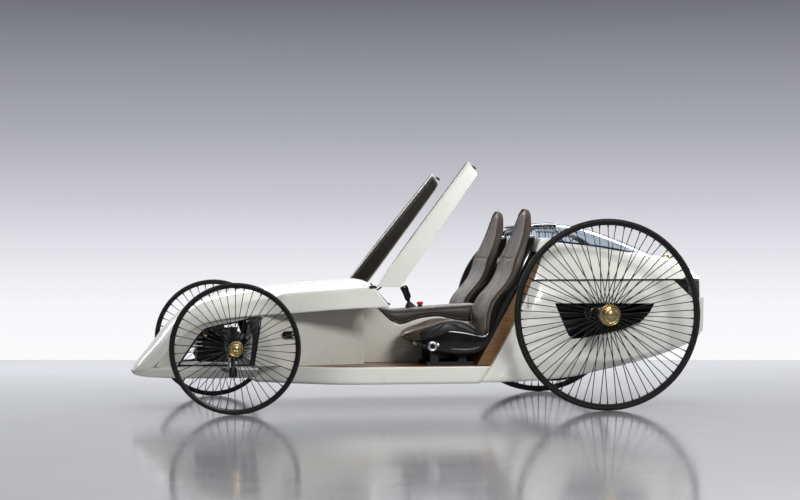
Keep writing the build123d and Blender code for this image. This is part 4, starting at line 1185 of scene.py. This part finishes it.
def door_slab(name, outline, outer, inner, crown, side, degrees, material, body, levels):
    # Outline as closed; outer and inner are depths from the door's face; crown is a swell along its middle
    rings = []
    middle_z = sum(z for _, z in outline) / len(outline)
    middle_s = sum(s for s, _ in outline) / len(outline)
    way = 1 if inner > outer else -1
    for depth, scale in ((inner, 0.9), (inner, 0.985), (inner - 3 * way, 1.0), (outer + 3 * way, 1.0),
                         (outer, 0.985), (outer - crown, 0.72)):
        ring = []
        for s, z in outline:
            zz = middle_z + (z - middle_z) * scale
            ss = s - math.copysign(min(abs(s - middle_s), (1 - scale) * 60), s - middle_s)
            ring.append(at(ss, side * door_face(zz, depth), zz))
        rings.append(opened(ring, degrees))
    return loop_form(name, rings, {}, material, body, levels)


def creased_slab(piece):
    modifier(piece, "BEVEL", width=0.001, segments=1, limit_method="ANGLE", angle_limit=math.radians(40))
    return sharp_by_angle(smoothed(applied(piece)), 30)


# Each door's rise at rest, in degrees
DOOR_RISE = {"left": 53.5, "right": 51.5}

for side_name, side in SIDES:
    degrees = DOOR_RISE[side_name]
    body = f"door_{side_name}"
    skin = door_slab(f"door_outer_{side_name}", DOOR_OUTLINE, 0, 20, 0.8, side, degrees, WHITE, body, 0)
    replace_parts(creased_slab(skin), f"door_skin_{side_name}")
    pad = door_slab(
        f"door_leather_{side_name}", PAD_OUTLINE, 34, 21, -1.0, side, degrees, LEATHER_DARK, body, 2,
    )
    border = []
    for s, z in PAD_OUTLINE:
        height = 712 + (z - 712) * 0.76
        border.append(at(s + (16 if s < 1400 else -16), side * door_face(height, 34), height))
    border = smooth_path(opened(border, degrees), 14, True)
    sewn(pad, f"door_stitches_{side_name}", border, 0.0015, 0.004, 0, body)
    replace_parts(pad, f"door_pad_{side_name}")
    latch_rows = []
    for depth, size in ((20, 17), (26, 20), (34, 20), (38, 16)):
        ring = [at(1866 + size * 0.35 * math.cos(a) + 6, side * door_face(716 + size * math.sin(a), depth),
                   716 + size * math.sin(a)) for a in angles(20)]
        latch_rows.append(opened(ring, degrees))
    latch = sharp_by_angle(loop_form(f"door_latch_{side_name}", latch_rows, {}, BLACK_SATIN, body, 1), 50)
    seal_line = ((905, 771), (1300, 775.5), (1868, 770.5))
    seal = opened([at(s, side * door_face(z, 10), z) for s, z in seal_line], degrees)
    swept(f"door_seal_{side_name}", smooth_path(seal, 16), 0.0022, BLACK_SATIN, body)


# Rear body below the seam, with a chamfer along its slanted front edge and a leaf-shaped opening in each side
EDGE_LINE = [
    (1542, 145), (1556, 163), (1648, 291), (1716, 410), (1788, 538), (1880, 750), (1962, 940), (2008, 1066),
    (2050, 1180),
]
LEAF = [
    (2043, 667), (2702, 662), (2666, 603), (2608, 548), (2491, 501), (2349, 471), (2240, 448), (2160, 438),
    (2131, 463), (2086, 560),
]
LEAF_HOLLOW = [(1976, 692), (2845, 690), (2838, 655), (2788, 592), (2664, 490), (2520, 414), (2329, 352),
               (2177, 322), (2100, 340), (2040, 500)]
DOOR_SWEEP_R = 988
DOOR_CLEAR = 640
CUTTER_REACH = 900


def edge_station(z):
    # Where the rear body's slanted front edge stands at a height
    for (s0, z0), (s1, z1) in zip(EDGE_LINE, EDGE_LINE[1:]):
        if z <= z1:
            break
    return s0 + (s1 - s0) * (z - z0) / (z1 - z0)


def rear_half(seam, waist, sill, bottom, bottom_z, inset=0, behind=None):
    sill_z = max(300, bottom_z + 42)
    half = [
        (0, 811), (seam - inset, 811), (seam + (waist - seam) * 0.45 - inset, 745), (waist - inset, 625),
        (waist + (sill - waist) * 0.45 - inset, 460), (sill - inset, sill_z),
        (bottom - inset, bottom_z + 4), (bottom - 60 - inset, bottom_z), (0, bottom_z),
    ]
    if behind is not None:
        spread = (811 - 165) / 1000
        half = [(y, z, edge_station(z) + behind * (1 + (811 - z) / 1000 / spread * 0.8 * (behind > 5)))
                for y, z in half]
    return half


REAR_NET = [
    (2130, 646, 700, 689, 632, 180), (2326, 633, 690, 662, 592, 221), (2520, 606, 656, 622, 545, 256),
    (2700, 570, 612, 572, 482, 292), (2860, 520, 556, 508, 414, 330), (3000, 455, 482, 430, 340, 368),
    (3090, 392, 410, 366, 280, 404), (3138, 330, 346, 310, 240, 432), (3148, 296, 312, 282, 220, 446),
]
rear_stations = [
    (0, rear_half(655, 701, 700, 672, 165, 40, 2)), (0, rear_half(655, 702, 700, 672, 165, 0, 46)),
    (0, rear_half(654, 702, 699, 668, 167, 0, 130)),
]
rear_stations += [(row[0], rear_half(*row[1:])) for row in REAR_NET]
rear_shell = shell(
    "rear_shell", rear_stations,
    {1: 0.95, 5: 0.5, 6: 0.4, ("row", 0): 1.0, ("row", 1): 0.75, ("row", -1): 0.5},
    WHITE, "chassis", 3, closed=True, caps=(0, -1),
)
recessed(rear_shell, LEAF_HOLLOW, 0.016, 0.05)


def sweep_outline():
    arc = []
    for degrees in range(-8, 21, 2):
        a = math.radians(degrees)
        arc.append((HINGE[0] + DOOR_SWEEP_R * math.cos(a), HINGE[1] + DOOR_SWEEP_R * math.sin(a)))
    return [(1500, arc[0][1])] + arc + [(1500, arc[-1][1])]


def plan_prism(name, outline, z_low, z_high):
    # A plan outline as stations and half widths, mirrored across the middle, from z_low to z_high
    ring = outline + [(s, -y) for s, y in reversed(outline)]
    return extruded(name, *[[at(s, y, z) for s, y in ring] for z in (z_low, z_high)], WHITE, None)


def side_cutters(*forms):
    # Closed pieces beyond both flanks, from names, outlines and inner distances
    return [prism(f"{name}_{way + 1}", outline, *sorted((way * inner, way * CUTTER_REACH)), WHITE, None)
            for way in (-1, 1) for name, outline, inner in forms]


TAIL_SLOT = [(2880, 900), (2880, 807), (3022, 692), (3300, 692), (3300, 900)]
cut(rear_shell, *side_cutters(("leaf_cutter", LEAF, 300), ("sweep_cutter", sweep_outline(), DOOR_CLEAR)),
    prism("tail_cutter", TAIL_SLOT, -CUTTER_REACH, CUTTER_REACH, WHITE, None))
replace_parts(rear_shell, "rear_body")

# Lining inside each leaf opening, dark as painted shade, and black louvres
leaf_middle = (2330, 560)
for side_name, side in SIDES:
    rows = []
    for depth, scale in (
        (668, 0.99), (660, 0.985), (560, 0.97), (420, 0.95), (312, 0.93), (308, 0.5), (307, 0.1),
    ):
        rows.append([at(leaf_middle[0] + (s - leaf_middle[0]) * scale, side * depth,
                        leaf_middle[1] + (z - leaf_middle[1]) * scale) for s, z in LEAF])
    points, faces = grid(rows, closed=True)
    # The lining is a dark sheet filling the opening's hollow: painted shade
    lining = facing_out(new_mesh(f"leaf_lining_{side_name}", points, faces, SHADOW_GAP, None, False))
    modifier(lining, "SOLIDIFY", thickness=0.004, offset=1)
    applied(lining)
    slats = []
    for index in range(4):
        z = 645 - index * 46
        reach = (0.97, 0.88, 0.7, 0.5)[index]
        start, end = 2075 + index * 18, 2043 + (2702 - 2043) * reach
        slats.append(prism(f"leaf_slat_{side_name}_{index}", [
            (start, z), (end, z), (end - 6, z - 5), (start + 4, z - 5)], *sorted((side * 560, side * 620)),
            BLACK_SATIN, None, 0.0015))
    lining = joined(f"leaf_lining_{side_name}", [lining] + slats)
    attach(lining, "chassis")

# Rear deck above the seam, hollow under the canopy
DECK_ROWS = [
    (2106, 646, 1050, 535), (2250, 636, 1040, 496), (2401, 622, 1027, 448), (2560, 596, 1007, 370),
    (2730, 562, 986, 288), (2850, 518, 967, 250), (2934, 480, 955, 230), (3000, 446, 937, 218),
    (3050, 416, 916, 208), (3092, 378, 888, 198), (3114, 352, 862, 184), (3121, 345, 846, 170),
]


def deck_half(seam, top, top_half, behind=None):
    slope_point = [(top_half + (seam - top_half) * t + 9 * math.sin(math.pi * t), top + (817 - top) * t)
                   for t in (0.1, 0.35, 0.65, 0.9)]
    half = [(0, top + 4), (top_half * 0.6, top + 3), (top_half - 16, top)] + slope_point
    half += [(seam, 818), (seam - 14, 816), (0, 816)]
    if behind is not None:
        half = [(y, z, edge_station(z) + behind) for y, z in half]
    return half


deck_stations = [(0, deck_half(654, 1062, 568, 3)), (0, deck_half(656, 1062, 566, 12)),
                 (0, deck_half(654, 1058, 556, 60))]
deck_stations += [(row[0], deck_half(*row[1:])) for row in DECK_ROWS]
deck = shell("deck_skin", deck_stations, {2: 0.3, 7: 0.9, 8: 0.5, ("row", 0): 0.9, ("row", -1): 0.7}, WHITE,
             "chassis", 2, closed=True, caps=(0, -1))
BASIN = [(2060, 490), (2106, 490), (2401, 405), (2730, 240)]
cut(deck, plan_prism("basin_cutter", BASIN, 850, 1250),
    *side_cutters(("deck_sweep_cutter", sweep_outline(), DOOR_CLEAR)))
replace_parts(deck, "rear_deck")

# White lip over the bulkhead's upper edge
lip = prism(
    "bulkhead_lip",
    [
        (1934, 992), (1954, 1050), (1966, 1078), (1984, 1084), (2030, 1080), (2030, 1062), (2000, 1050),
        (1976, 992),
    ],
    -618, 618, WHITE, "chassis", 0.006,
)

# Plank bulkhead behind the seats, its outer planks' sides showing as far as the body's edge
BULKHEAD_LINE = [(1549, 273), (1649, 454), (1757, 649), (1865, 844), (1949, 995)]
BULKHEAD_HALF = 622
PLANKS = 13
BOARD_GAP = 0.8
planks = []
for k in range(PLANKS):
    low = -BULKHEAD_HALF + k * 2 * BULKHEAD_HALF / PLANKS
    high = low + 2 * BULKHEAD_HALF / PLANKS
    back = [(edge_station(z) - 1, z) for z in (995, 844, 649, 454, 300, 273)]
    planks.append(prism(f"bulkhead_plank_{k}", BULKHEAD_LINE + back, low + BOARD_GAP, high - BOARD_GAP, WOOD,
                        None, 0.0025))
bulkhead = joined("bulkhead_planks", planks)
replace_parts(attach(bulkhead, "chassis"), "wood_bulkhead")

# Deck boards of the floor
DECK_PLAN = [(232, 300), (400, 470), (610, 640), (760, 655), (1548, 655)]
DECK_HALF = 655
BOARDS = 14
boards = []
for k in range(BOARDS):
    low = -DECK_HALF + k * 2 * DECK_HALF / BOARDS
    high = low + 2 * DECK_HALF / BOARDS
    reach = max(abs(low), abs(high))
    start = DECK_PLAN[0][0]
    for (s0, y0), (s1, y1) in zip(DECK_PLAN, DECK_PLAN[1:]):
        if y0 < reach <= y1:
            start = s0 + (s1 - s0) * (reach - y0) / (y1 - y0)
    outline = [(start, 261), (start, 273.5), (1552, 273.5), (1546, 261)]
    boards.append(prism(f"deck_board_{k}", outline, low + BOARD_GAP, high - BOARD_GAP, WOOD, None, 0.002))
boards = joined("deck_boards", boards)
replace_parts(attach(boards, "chassis"), "wood_deck")

# Dark seam between deck and body, and the undertray's black bulge
for side_name, side in SIDES:
    seam_path = [at(edge_station(814) + 6, side * 648, 814)]
    seam_path += [at(row[0], side * (row[1] - 4), 814) for row in REAR_NET[:7]]
    swept(f"deck_seam_{side_name}", smooth_path(seam_path, 10), 0.0035, SHADOW_GAP, "chassis")
undertray = prism("undertray", [(1960, 178), (2000, 168), (2060, 163), (2120, 164), (2190, 174), (2250, 190),
                                (2300, 212), (2326, 232), (2326, 262), (1960, 262)], -500, 500, BLACK_SATIN,
                  "chassis", 0.012)

# Toothed rings and brass bearings around the rear axle
for side_name, side in SIDES:
    place = outward(WHEELBASE, side * 500, 600, side)
    rows = []
    for k, angle in enumerate(angles(144)):
        tooth = 48 if k % 4 < 2 else 44
        rows.append([place @ polar(r, angle, h)
                     for r, h in ((37, 0), (tooth, 0), (tooth, 20), (40, 21), (37, 19))])
    points, faces = grid(rows, closed=True, wrap=True)
    toothed = sharp_by_angle(
        facing_out(new_mesh(f"toothed_ring_{side_name}", points, faces, SILVER, "chassis")), 35,
    )
    bearing = sharp_by_angle(
        turned(
            f"axle_bearing_{side_name}",
            [
                (37, 60), (44, 60), (46, 63), (46, 72), (42, 76), (42, 100), (45, 104), (45, 118),
                (41, 122), (37, 122),
            ],
            place, BRASS, "chassis", 64, True,
        ),
        35,
    )
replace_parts(bpy.data.objects["toothed_ring_left"], "axle_rings")

# Canopy: low front windows under a black roof bar, then a long clear bubble with a dark line at its base
BUBBLE_ROWS = [
    (2118, 498, 1058, 330, 1172), (2173, 497, 1054, 322, 1178), (2287, 470, 1043, 290, 1164),
    (2382, 438, 1032, 255, 1145), (2516, 385, 1014, 205, 1108), (2651, 314, 992, 155, 1062),
    (2786, 212, 970, 92, 1011), (2873, 132, 960, 46, 973), (2912, 84, 956, 20, 957),
]


def bubble_half(base_half, base, top_half, top):
    return [(0, top + 4), (top_half * 0.55, top + 3), (top_half, top - 3),
            (top_half + (base_half - top_half) * 0.5 + 12, top - (top - base) * 0.36),
            (base_half - (base_half - top_half) * 0.12, top - (top - base) * 0.76), (base_half, base)]


bubble = shell("canopy_bubble", [(row[0], bubble_half(*row[1:])) for row in BUBBLE_ROWS],
               {("row", 0): 1.0}, GLASS, "chassis", 3, 0.004)
strip_rows = [
    (s, [(0, top + 2), (300, top), (half - 66, top - 3), (half - 20, 1118), (half, 1086), (half + 2, 1074)])
    for s, half, top in ((1972, 484, 1142), (1984, 490, 1152), (2050, 497, 1154), (2116, 500, 1152))
]
windows = shell(
    "canopy_windows", strip_rows, {("row", 0): 0.8, ("row", -1): 1.0}, GLASS, "chassis", 2, 0.004,
)
joined("canopy_bubble", [bubble, windows])
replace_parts(bpy.data.objects["canopy_bubble"], "canopy_glass")

bar_rows = []
for s, low, high, half in ((1952, 1156, 1162, 400), (1958, 1151, 1171, 418), (1990, 1149, 1178, 428),
                           (2060, 1149, 1181, 430), (2116, 1150, 1179, 428), (2132, 1154, 1172, 420)):
    bar_rows.append(
        [
            (0, (s, high)), (half * 0.7, (s, high)), (half - 14, (s, high - 3)),
            (half, (s, (low + high) / 2)), (half - 10, (s, low + 1)), (half * 0.7, (s, low)), (0, (s, low)),
        ],
    )
roof_bar = loop_form("canopy_roof_bar", seat_loops(bar_rows, 0), {}, BLACK_GLOSS, "chassis", 2)
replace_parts(roof_bar, "canopy_hoop")

trim = []
for side in (-1, 1):
    base_path = [at(1966, side * 488, 1078), at(2050, side * 500, 1072), at(2118, side * 501, 1060)]
    base_path += [at(row[0], side * (row[1] + 1), row[2] - 1) for row in BUBBLE_ROWS[1:]]
    trim.append(swept(f"canopy_base_{side + 1}", smooth_path(base_path, 8), 0.0065, BLACK_SATIN, None))
    pillar = [
        at(2142, side * 500, 1060), at(2118, side * 490, 1090), at(2106, side * 462, 1128),
        at(2112, side * 425, 1154), at(2124, side * 380, 1170), at(2136, side * 200, 1180),
        at(2140, 0, 1183),
    ]
    trim.append(swept(f"canopy_pillar_{side + 1}", smooth_path(pillar, 8), 0.006, DARK_GLASS, None))
    for k in range(7):
        s = 1990 + k * 19
        trim.append(
            swept(
                f"canopy_bar_{side + 1}_{k}",
                [at(s, side * 500, 1078), at(s, side * 482, 1118), at(s, side * 434, 1150)], 0.0014,
                DARK_GLASS, None, sides=6,
            ),
        )
trim = joined("canopy_trim", trim)
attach(trim, "chassis")

# Brass lamp at the canopy's tail
lamp_place = Matrix.Translation(at(2984, 0, 938))
lamp_cap = sharp_by_angle(turned("tail_lamp_cap", [
    (0, 0), (20, 0), (22, 8), (30, 12), (33, 16), (33, 22), (29, 25), (29, 29), (25, 35), (16, 40), (0, 42)],
    lamp_place, BRASS, "chassis", 64), 40)
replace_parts(lamp_cap, "tail_lamp")


# Nose window: thick black frame at its rear and floor, and a see-through opening from side to side
def frame_y(station, side):
    return side * (interpolated(CHIN_NET, station, 2) - 24 if station < 182 else 412)


for side_name, side in SIDES:
    corners = [
        (-306, 278), (-250, 366), (-198, 446), (-168, 482), (-128, 510), (30, 545), (194, 574), (184, 470),
        (160, 292), (154, 279), (-60, 276), (-290, 274),
    ]
    path = smooth_path([at(s, frame_y(s, side), z) for s, z in corners], 6, True)
    ring = swept(f"window_rim_{side_name}", path, 0.006, BLACK_SATIN, "chassis", True, 8)
    post = prism(
        f"window_post_{side_name}",
        [(196, 580), (160, 272), (128, 272), (140, 350), (150, 450), (120, 548)],
        *sorted((frame_y(170, side) - 5, frame_y(170, side) + 5)), BLACK_SATIN, "chassis", 0.003,
    )
    pad = prism(
        f"window_pad_{side_name}",
        [(-116, 508), (-70, 522), (-28, 530), (-24, 506), (-60, 498), (-108, 486)],
        *sorted((frame_y(-60, side) - 5, frame_y(-60, side) + 5)), BLACK_SATIN, "chassis", 0.004,
    )
    joined(f"window_frame_{side_name}", [ring, post, pad])
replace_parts(bpy.data.objects["window_frame_left"], "window_frames")

# Machinery seen through the window: motor block, cylinders, ribbed hoses and a cross tube
MOTOR_OUTLINE = [
    (-178, 286), (-178, 420), (-150, 470), (-96, 492), (40, 500), (84, 470), (96, 300), (60, 282),
]
works = [prism("front_motor", MOTOR_OUTLINE, -118, 118, BLACK_SATIN, None, 0.012)]
for index, (s, z, low, high, radius) in enumerate((
    (-190, 452, -150, -20, 24), (-120, 404, -176, -96, 34), (-40, 330, -172, -96, 27),
    (120, 420, -160, 160, 20), (-150, 330, 96, 180, 34), (40, 380, 100, 176, 40),
)):
    place = outward(s, low, z, 1)
    length = high - low
    profile = [(0, 0), (radius - 4, 0), (radius, 4)]
    for k in range(5):
        h = 8 + (length - 16) * k / 5
        profile += [(radius, h), (radius, h + 4), (radius - 3, h + 6), (radius - 3, h + 9)]
    profile += [(radius, length - 4), (radius - 4, length), (0, length)]
    works.append(sharp_by_angle(turned(f"motor_drum_{index}", profile, place, BLACK_STEEL, None, 40), 40))
works = joined("front_motor", works)
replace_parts(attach(works, "chassis"), "front_subframe")
CYLINDERS = [
    (-236, 418, 168), (-236, 446, 168), (-228, 392, 150), (-60, 470, 150), (80, 455, 130), (10, 322, 140),
]
bright = []
for index, (s, z, reach) in enumerate(CYLINDERS):
    profile = [(0, -6), (7, -6), (8, 0), (12, 2), (12, 34), (9, 37), (9, 44), (5, 46), (5, reach * 0.5),
               (0, reach * 0.5)]
    for name, y in (("cylinder", -200), ("far_cylinder", 200)):
        place = Matrix.Translation(at(s, y, z)) @ Matrix.Rotation(math.pi / 2, 4, "Y")
        bright.append(sharp_by_angle(turned(f"{name}_{index}", profile, place, SILVER, None, 32), 40))
bright = joined("front_cylinders", bright)
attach(bright, "chassis")
brass_fitting = sharp_by_angle(
    turned(
        "brass_fitting",
        [(0, 0), (14, 0), (16, 3), (16, 12), (11, 15), (11, 24), (14, 27), (14, 33), (8, 36), (0, 36)],
        Matrix.Translation(at(-130, -122, 462)) @ Matrix.Rotation(math.pi / 2, 4, "X"), BRASS, "chassis",
        40,
    ),
    40,
)

# Charging sockets in black capsules at the cowl's sides
for side_name, side in SIDES:
    socket_place = outward(382, side * 438, 469, side)
    capsule = []
    for depth, grow in ((0, 1.0), (9, 1.0), (12, 0.93), (12, 0.82), (6, 0.74), (6, 0.1)):
        ring = []
        for angle in angles(32):
            shift = 26 if math.cos(angle) >= 0 else -26
            ring.append(socket_place @ Vector(((shift + 24 * grow * math.cos(angle)) / 1000,
                                               24 * grow * math.sin(angle) / 1000, depth / 1000)))
        capsule.append(ring)
    points, faces = grid(capsule, closed=True)
    capsule = sharp_by_angle(facing_out(new_mesh(f"port_capsule_{side_name}", points, faces, BLACK_GLOSS,
                                                 "chassis")), 30)
    ring = turned(f"port_ring_{side_name}", [(10, 0), (10, 6), (12, 9), (17, 9), (19, 6), (19, 0)],
                  outward(408, side * 444, 469, side), SILVER, "chassis", 48, True)
    sharp_by_angle(ring, 40)
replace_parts(bpy.data.objects["port_capsule_left"], "charge_ports")

# Door hinges: black gap lines, short struts and ball ends under each door's foot
HINGE_SIDE = 622
for side_name, side in SIDES:
    y = side * HINGE_SIDE
    line = swept(
        f"hinge_line_{side_name}", [at(868, y, 796), at(905, y, 752), at(958, y, 690), at(984, y, 655)],
        0.0045, BLACK_SATIN, None,
    )
    strut = bars(f"hinge_strut_{side_name}", [(at(902, y, 748), at(938, y, 772), 0.0055)], BLACK_SATIN, None)
    ball = turned(f"hinge_ball_{side_name}", [(0, -9), (6, -8), (9, -4), (10, 0), (9, 4), (6, 8), (0, 9)],
                  Matrix.Translation(at(984, y, 664)), BLACK_GLOSS, None, 24)
    hinge = joined(f"hinge_{side_name}", [line, strut, ball])
    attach(hinge, "chassis")


# Finishes of the CAD nodes that stay in view
NODE_FINISH = {
    # The fuselage takes the darker white copy: painted shade under the cowl
    WHITE_PAINTED_SHADE: ("fuselage",),
    BLACK_SATIN: ("door_hinges", "seat_rails", "tail_panel"),
    BLACK_STEEL: ("front_arms", "knuckle_left", "knuckle_right", "rear_axle"),
    SILVER: ("front_dampers",),
    DARK_METAL: ("power_unit",),
}
for finish_material, names in NODE_FINISH.items():
    for node_name in names:
        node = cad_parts[node_name]
        node.data.materials.clear()
        node.data.materials.append(finish_material)

# Studio: pale glossy floor, a sky that darkens upward for the camera, soft lamps
floor_finish = Finish("studio_floor", colour(152, 153, 158), 0.1, specular_ior_level=0.5)
patches = floor_finish.grey(floor_finish.noise(0.7, 3), 0.0, 1.0)
floor_finish.base(floor_finish.mix(patches, colour(157, 158, 163), colour(163, 164, 169)))
floor_finish.rough(floor_finish.grey(floor_finish.noise(4, 4), 0.09, 0.12))
floor_aim = Vector((CAMERA_AIM.x, CAMERA_AIM.y, 0)).normalized()
floor_side = Vector((floor_aim.y, -floor_aim.x, 0))
floor_start = Vector((CAMERA_PLACE.x, CAMERA_PLACE.y, 0))
FLOOR_NEAR, FLOOR_FAR, FLOOR_WIDE = 5.5, 18.5, 10.0
floor_points = [
    floor_start + floor_aim * ahead + floor_side * beside
    for ahead, beside in ((FLOOR_NEAR, -FLOOR_WIDE), (FLOOR_NEAR, FLOOR_WIDE), (FLOOR_FAR, FLOOR_WIDE),
                          (FLOOR_FAR, -FLOOR_WIDE))
]
floor_piece = new_mesh("studio_floor", floor_points, [(0, 1, 2, 3)], floor_finish.material, None)

# The sky's shades for the camera, from the horizon up
SKY_STOPS = [
    (0.0, (252, 252, 253)), (0.17, (246, 246, 250)), (0.30, (228, 228, 234)), (0.44, (204, 203, 211)),
    (0.62, (172, 172, 181)), (0.83, (141, 141, 150)), (1.0, (107, 107, 114)),
]
# Reflections see a plain bright side behind the object and a dim one before it; other light is a plain level
BEHIND_LEVEL = (0.62, 0.625, 0.65, 1)
BEFORE_LEVEL = (0.07, 0.071, 0.075, 1)
PLAIN_LEVEL = (0.17, 0.172, 0.178, 1)

world = bpy.data.worlds.new("studio")
bpy.context.scene.world = world
world.use_nodes = True
sky = world.node_tree
background = sky.nodes["Background"]
sky_place = sky.nodes.new("ShaderNodeTexCoord")
sky_split = sky.nodes.new("ShaderNodeSeparateXYZ")
sky.links.new(sky_place.outputs["Generated"], sky_split.inputs["Vector"])


def share_of(axis, low, high):
    # How far along an axis a direction of the sky lies between two values
    node = sky.nodes.new("ShaderNodeMapRange")
    node.inputs["From Min"].default_value = low
    node.inputs["From Max"].default_value = high
    sky.links.new(sky_split.outputs[axis], node.inputs["Value"])
    return node.outputs["Result"]


seen_sky = ramp(sky, share_of("Z", -0.055, 0.13), [(place, colour(*shade)) for place, shade in SKY_STOPS])
reflected = mix(sky, share_of("Y", -0.2, 0.35), BEFORE_LEVEL, BEHIND_LEVEL)
light_path = sky.nodes.new("ShaderNodeLightPath")
lit = mix(sky, light_path.outputs["Is Glossy Ray"], PLAIN_LEVEL, reflected)
seen = sky.nodes.new("ShaderNodeMath")
seen.operation = "MAXIMUM"
sky.links.new(light_path.outputs["Is Camera Ray"], seen.inputs[0])
sky.links.new(light_path.outputs["Is Transmission Ray"], seen.inputs[1])
sky.links.new(mix(sky, seen.outputs["Value"], lit, seen_sky), background.inputs["Color"])
background.inputs["Strength"].default_value = 1.0


def lamp(name, place, target, size, size_y, power, tone):
    data = bpy.data.lights.new(name, "AREA")
    data.shape = "RECTANGLE"
    data.size = size
    data.size_y = size_y
    data.energy = power
    data.color = tone
    light = bpy.data.objects.new(name, data)
    light.location = place
    light.rotation_mode = "QUATERNION"
    light.rotation_quaternion = (Vector(target) - Vector(place)).to_track_quat("-Z", "Y")
    bpy.context.scene.collection.objects.link(light)


lamp("overhead", (0.2, 0.6, 5.2), (0.2, 0.2, 0), 7.0, 3.0, 130, (1.0, 0.99, 0.97))
lamp("key", (1.6, -8.2, 4.2), (0.0, 0, 0.7), 2.6, 1.4, 500, (1.0, 0.99, 0.975))
lamp("right_fill", (6.5, -5.5, 3.0), (0.4, 0, 0.5), 3.0, 2.5, 25, (0.97, 0.98, 1.0))
lamp("far_floor", (0.5, 4.8, 3.6), (0.5, 4.4, 0), 16.0, 2.5, 950, (0.98, 0.99, 1.0))

bpy.context.view_layer.update()
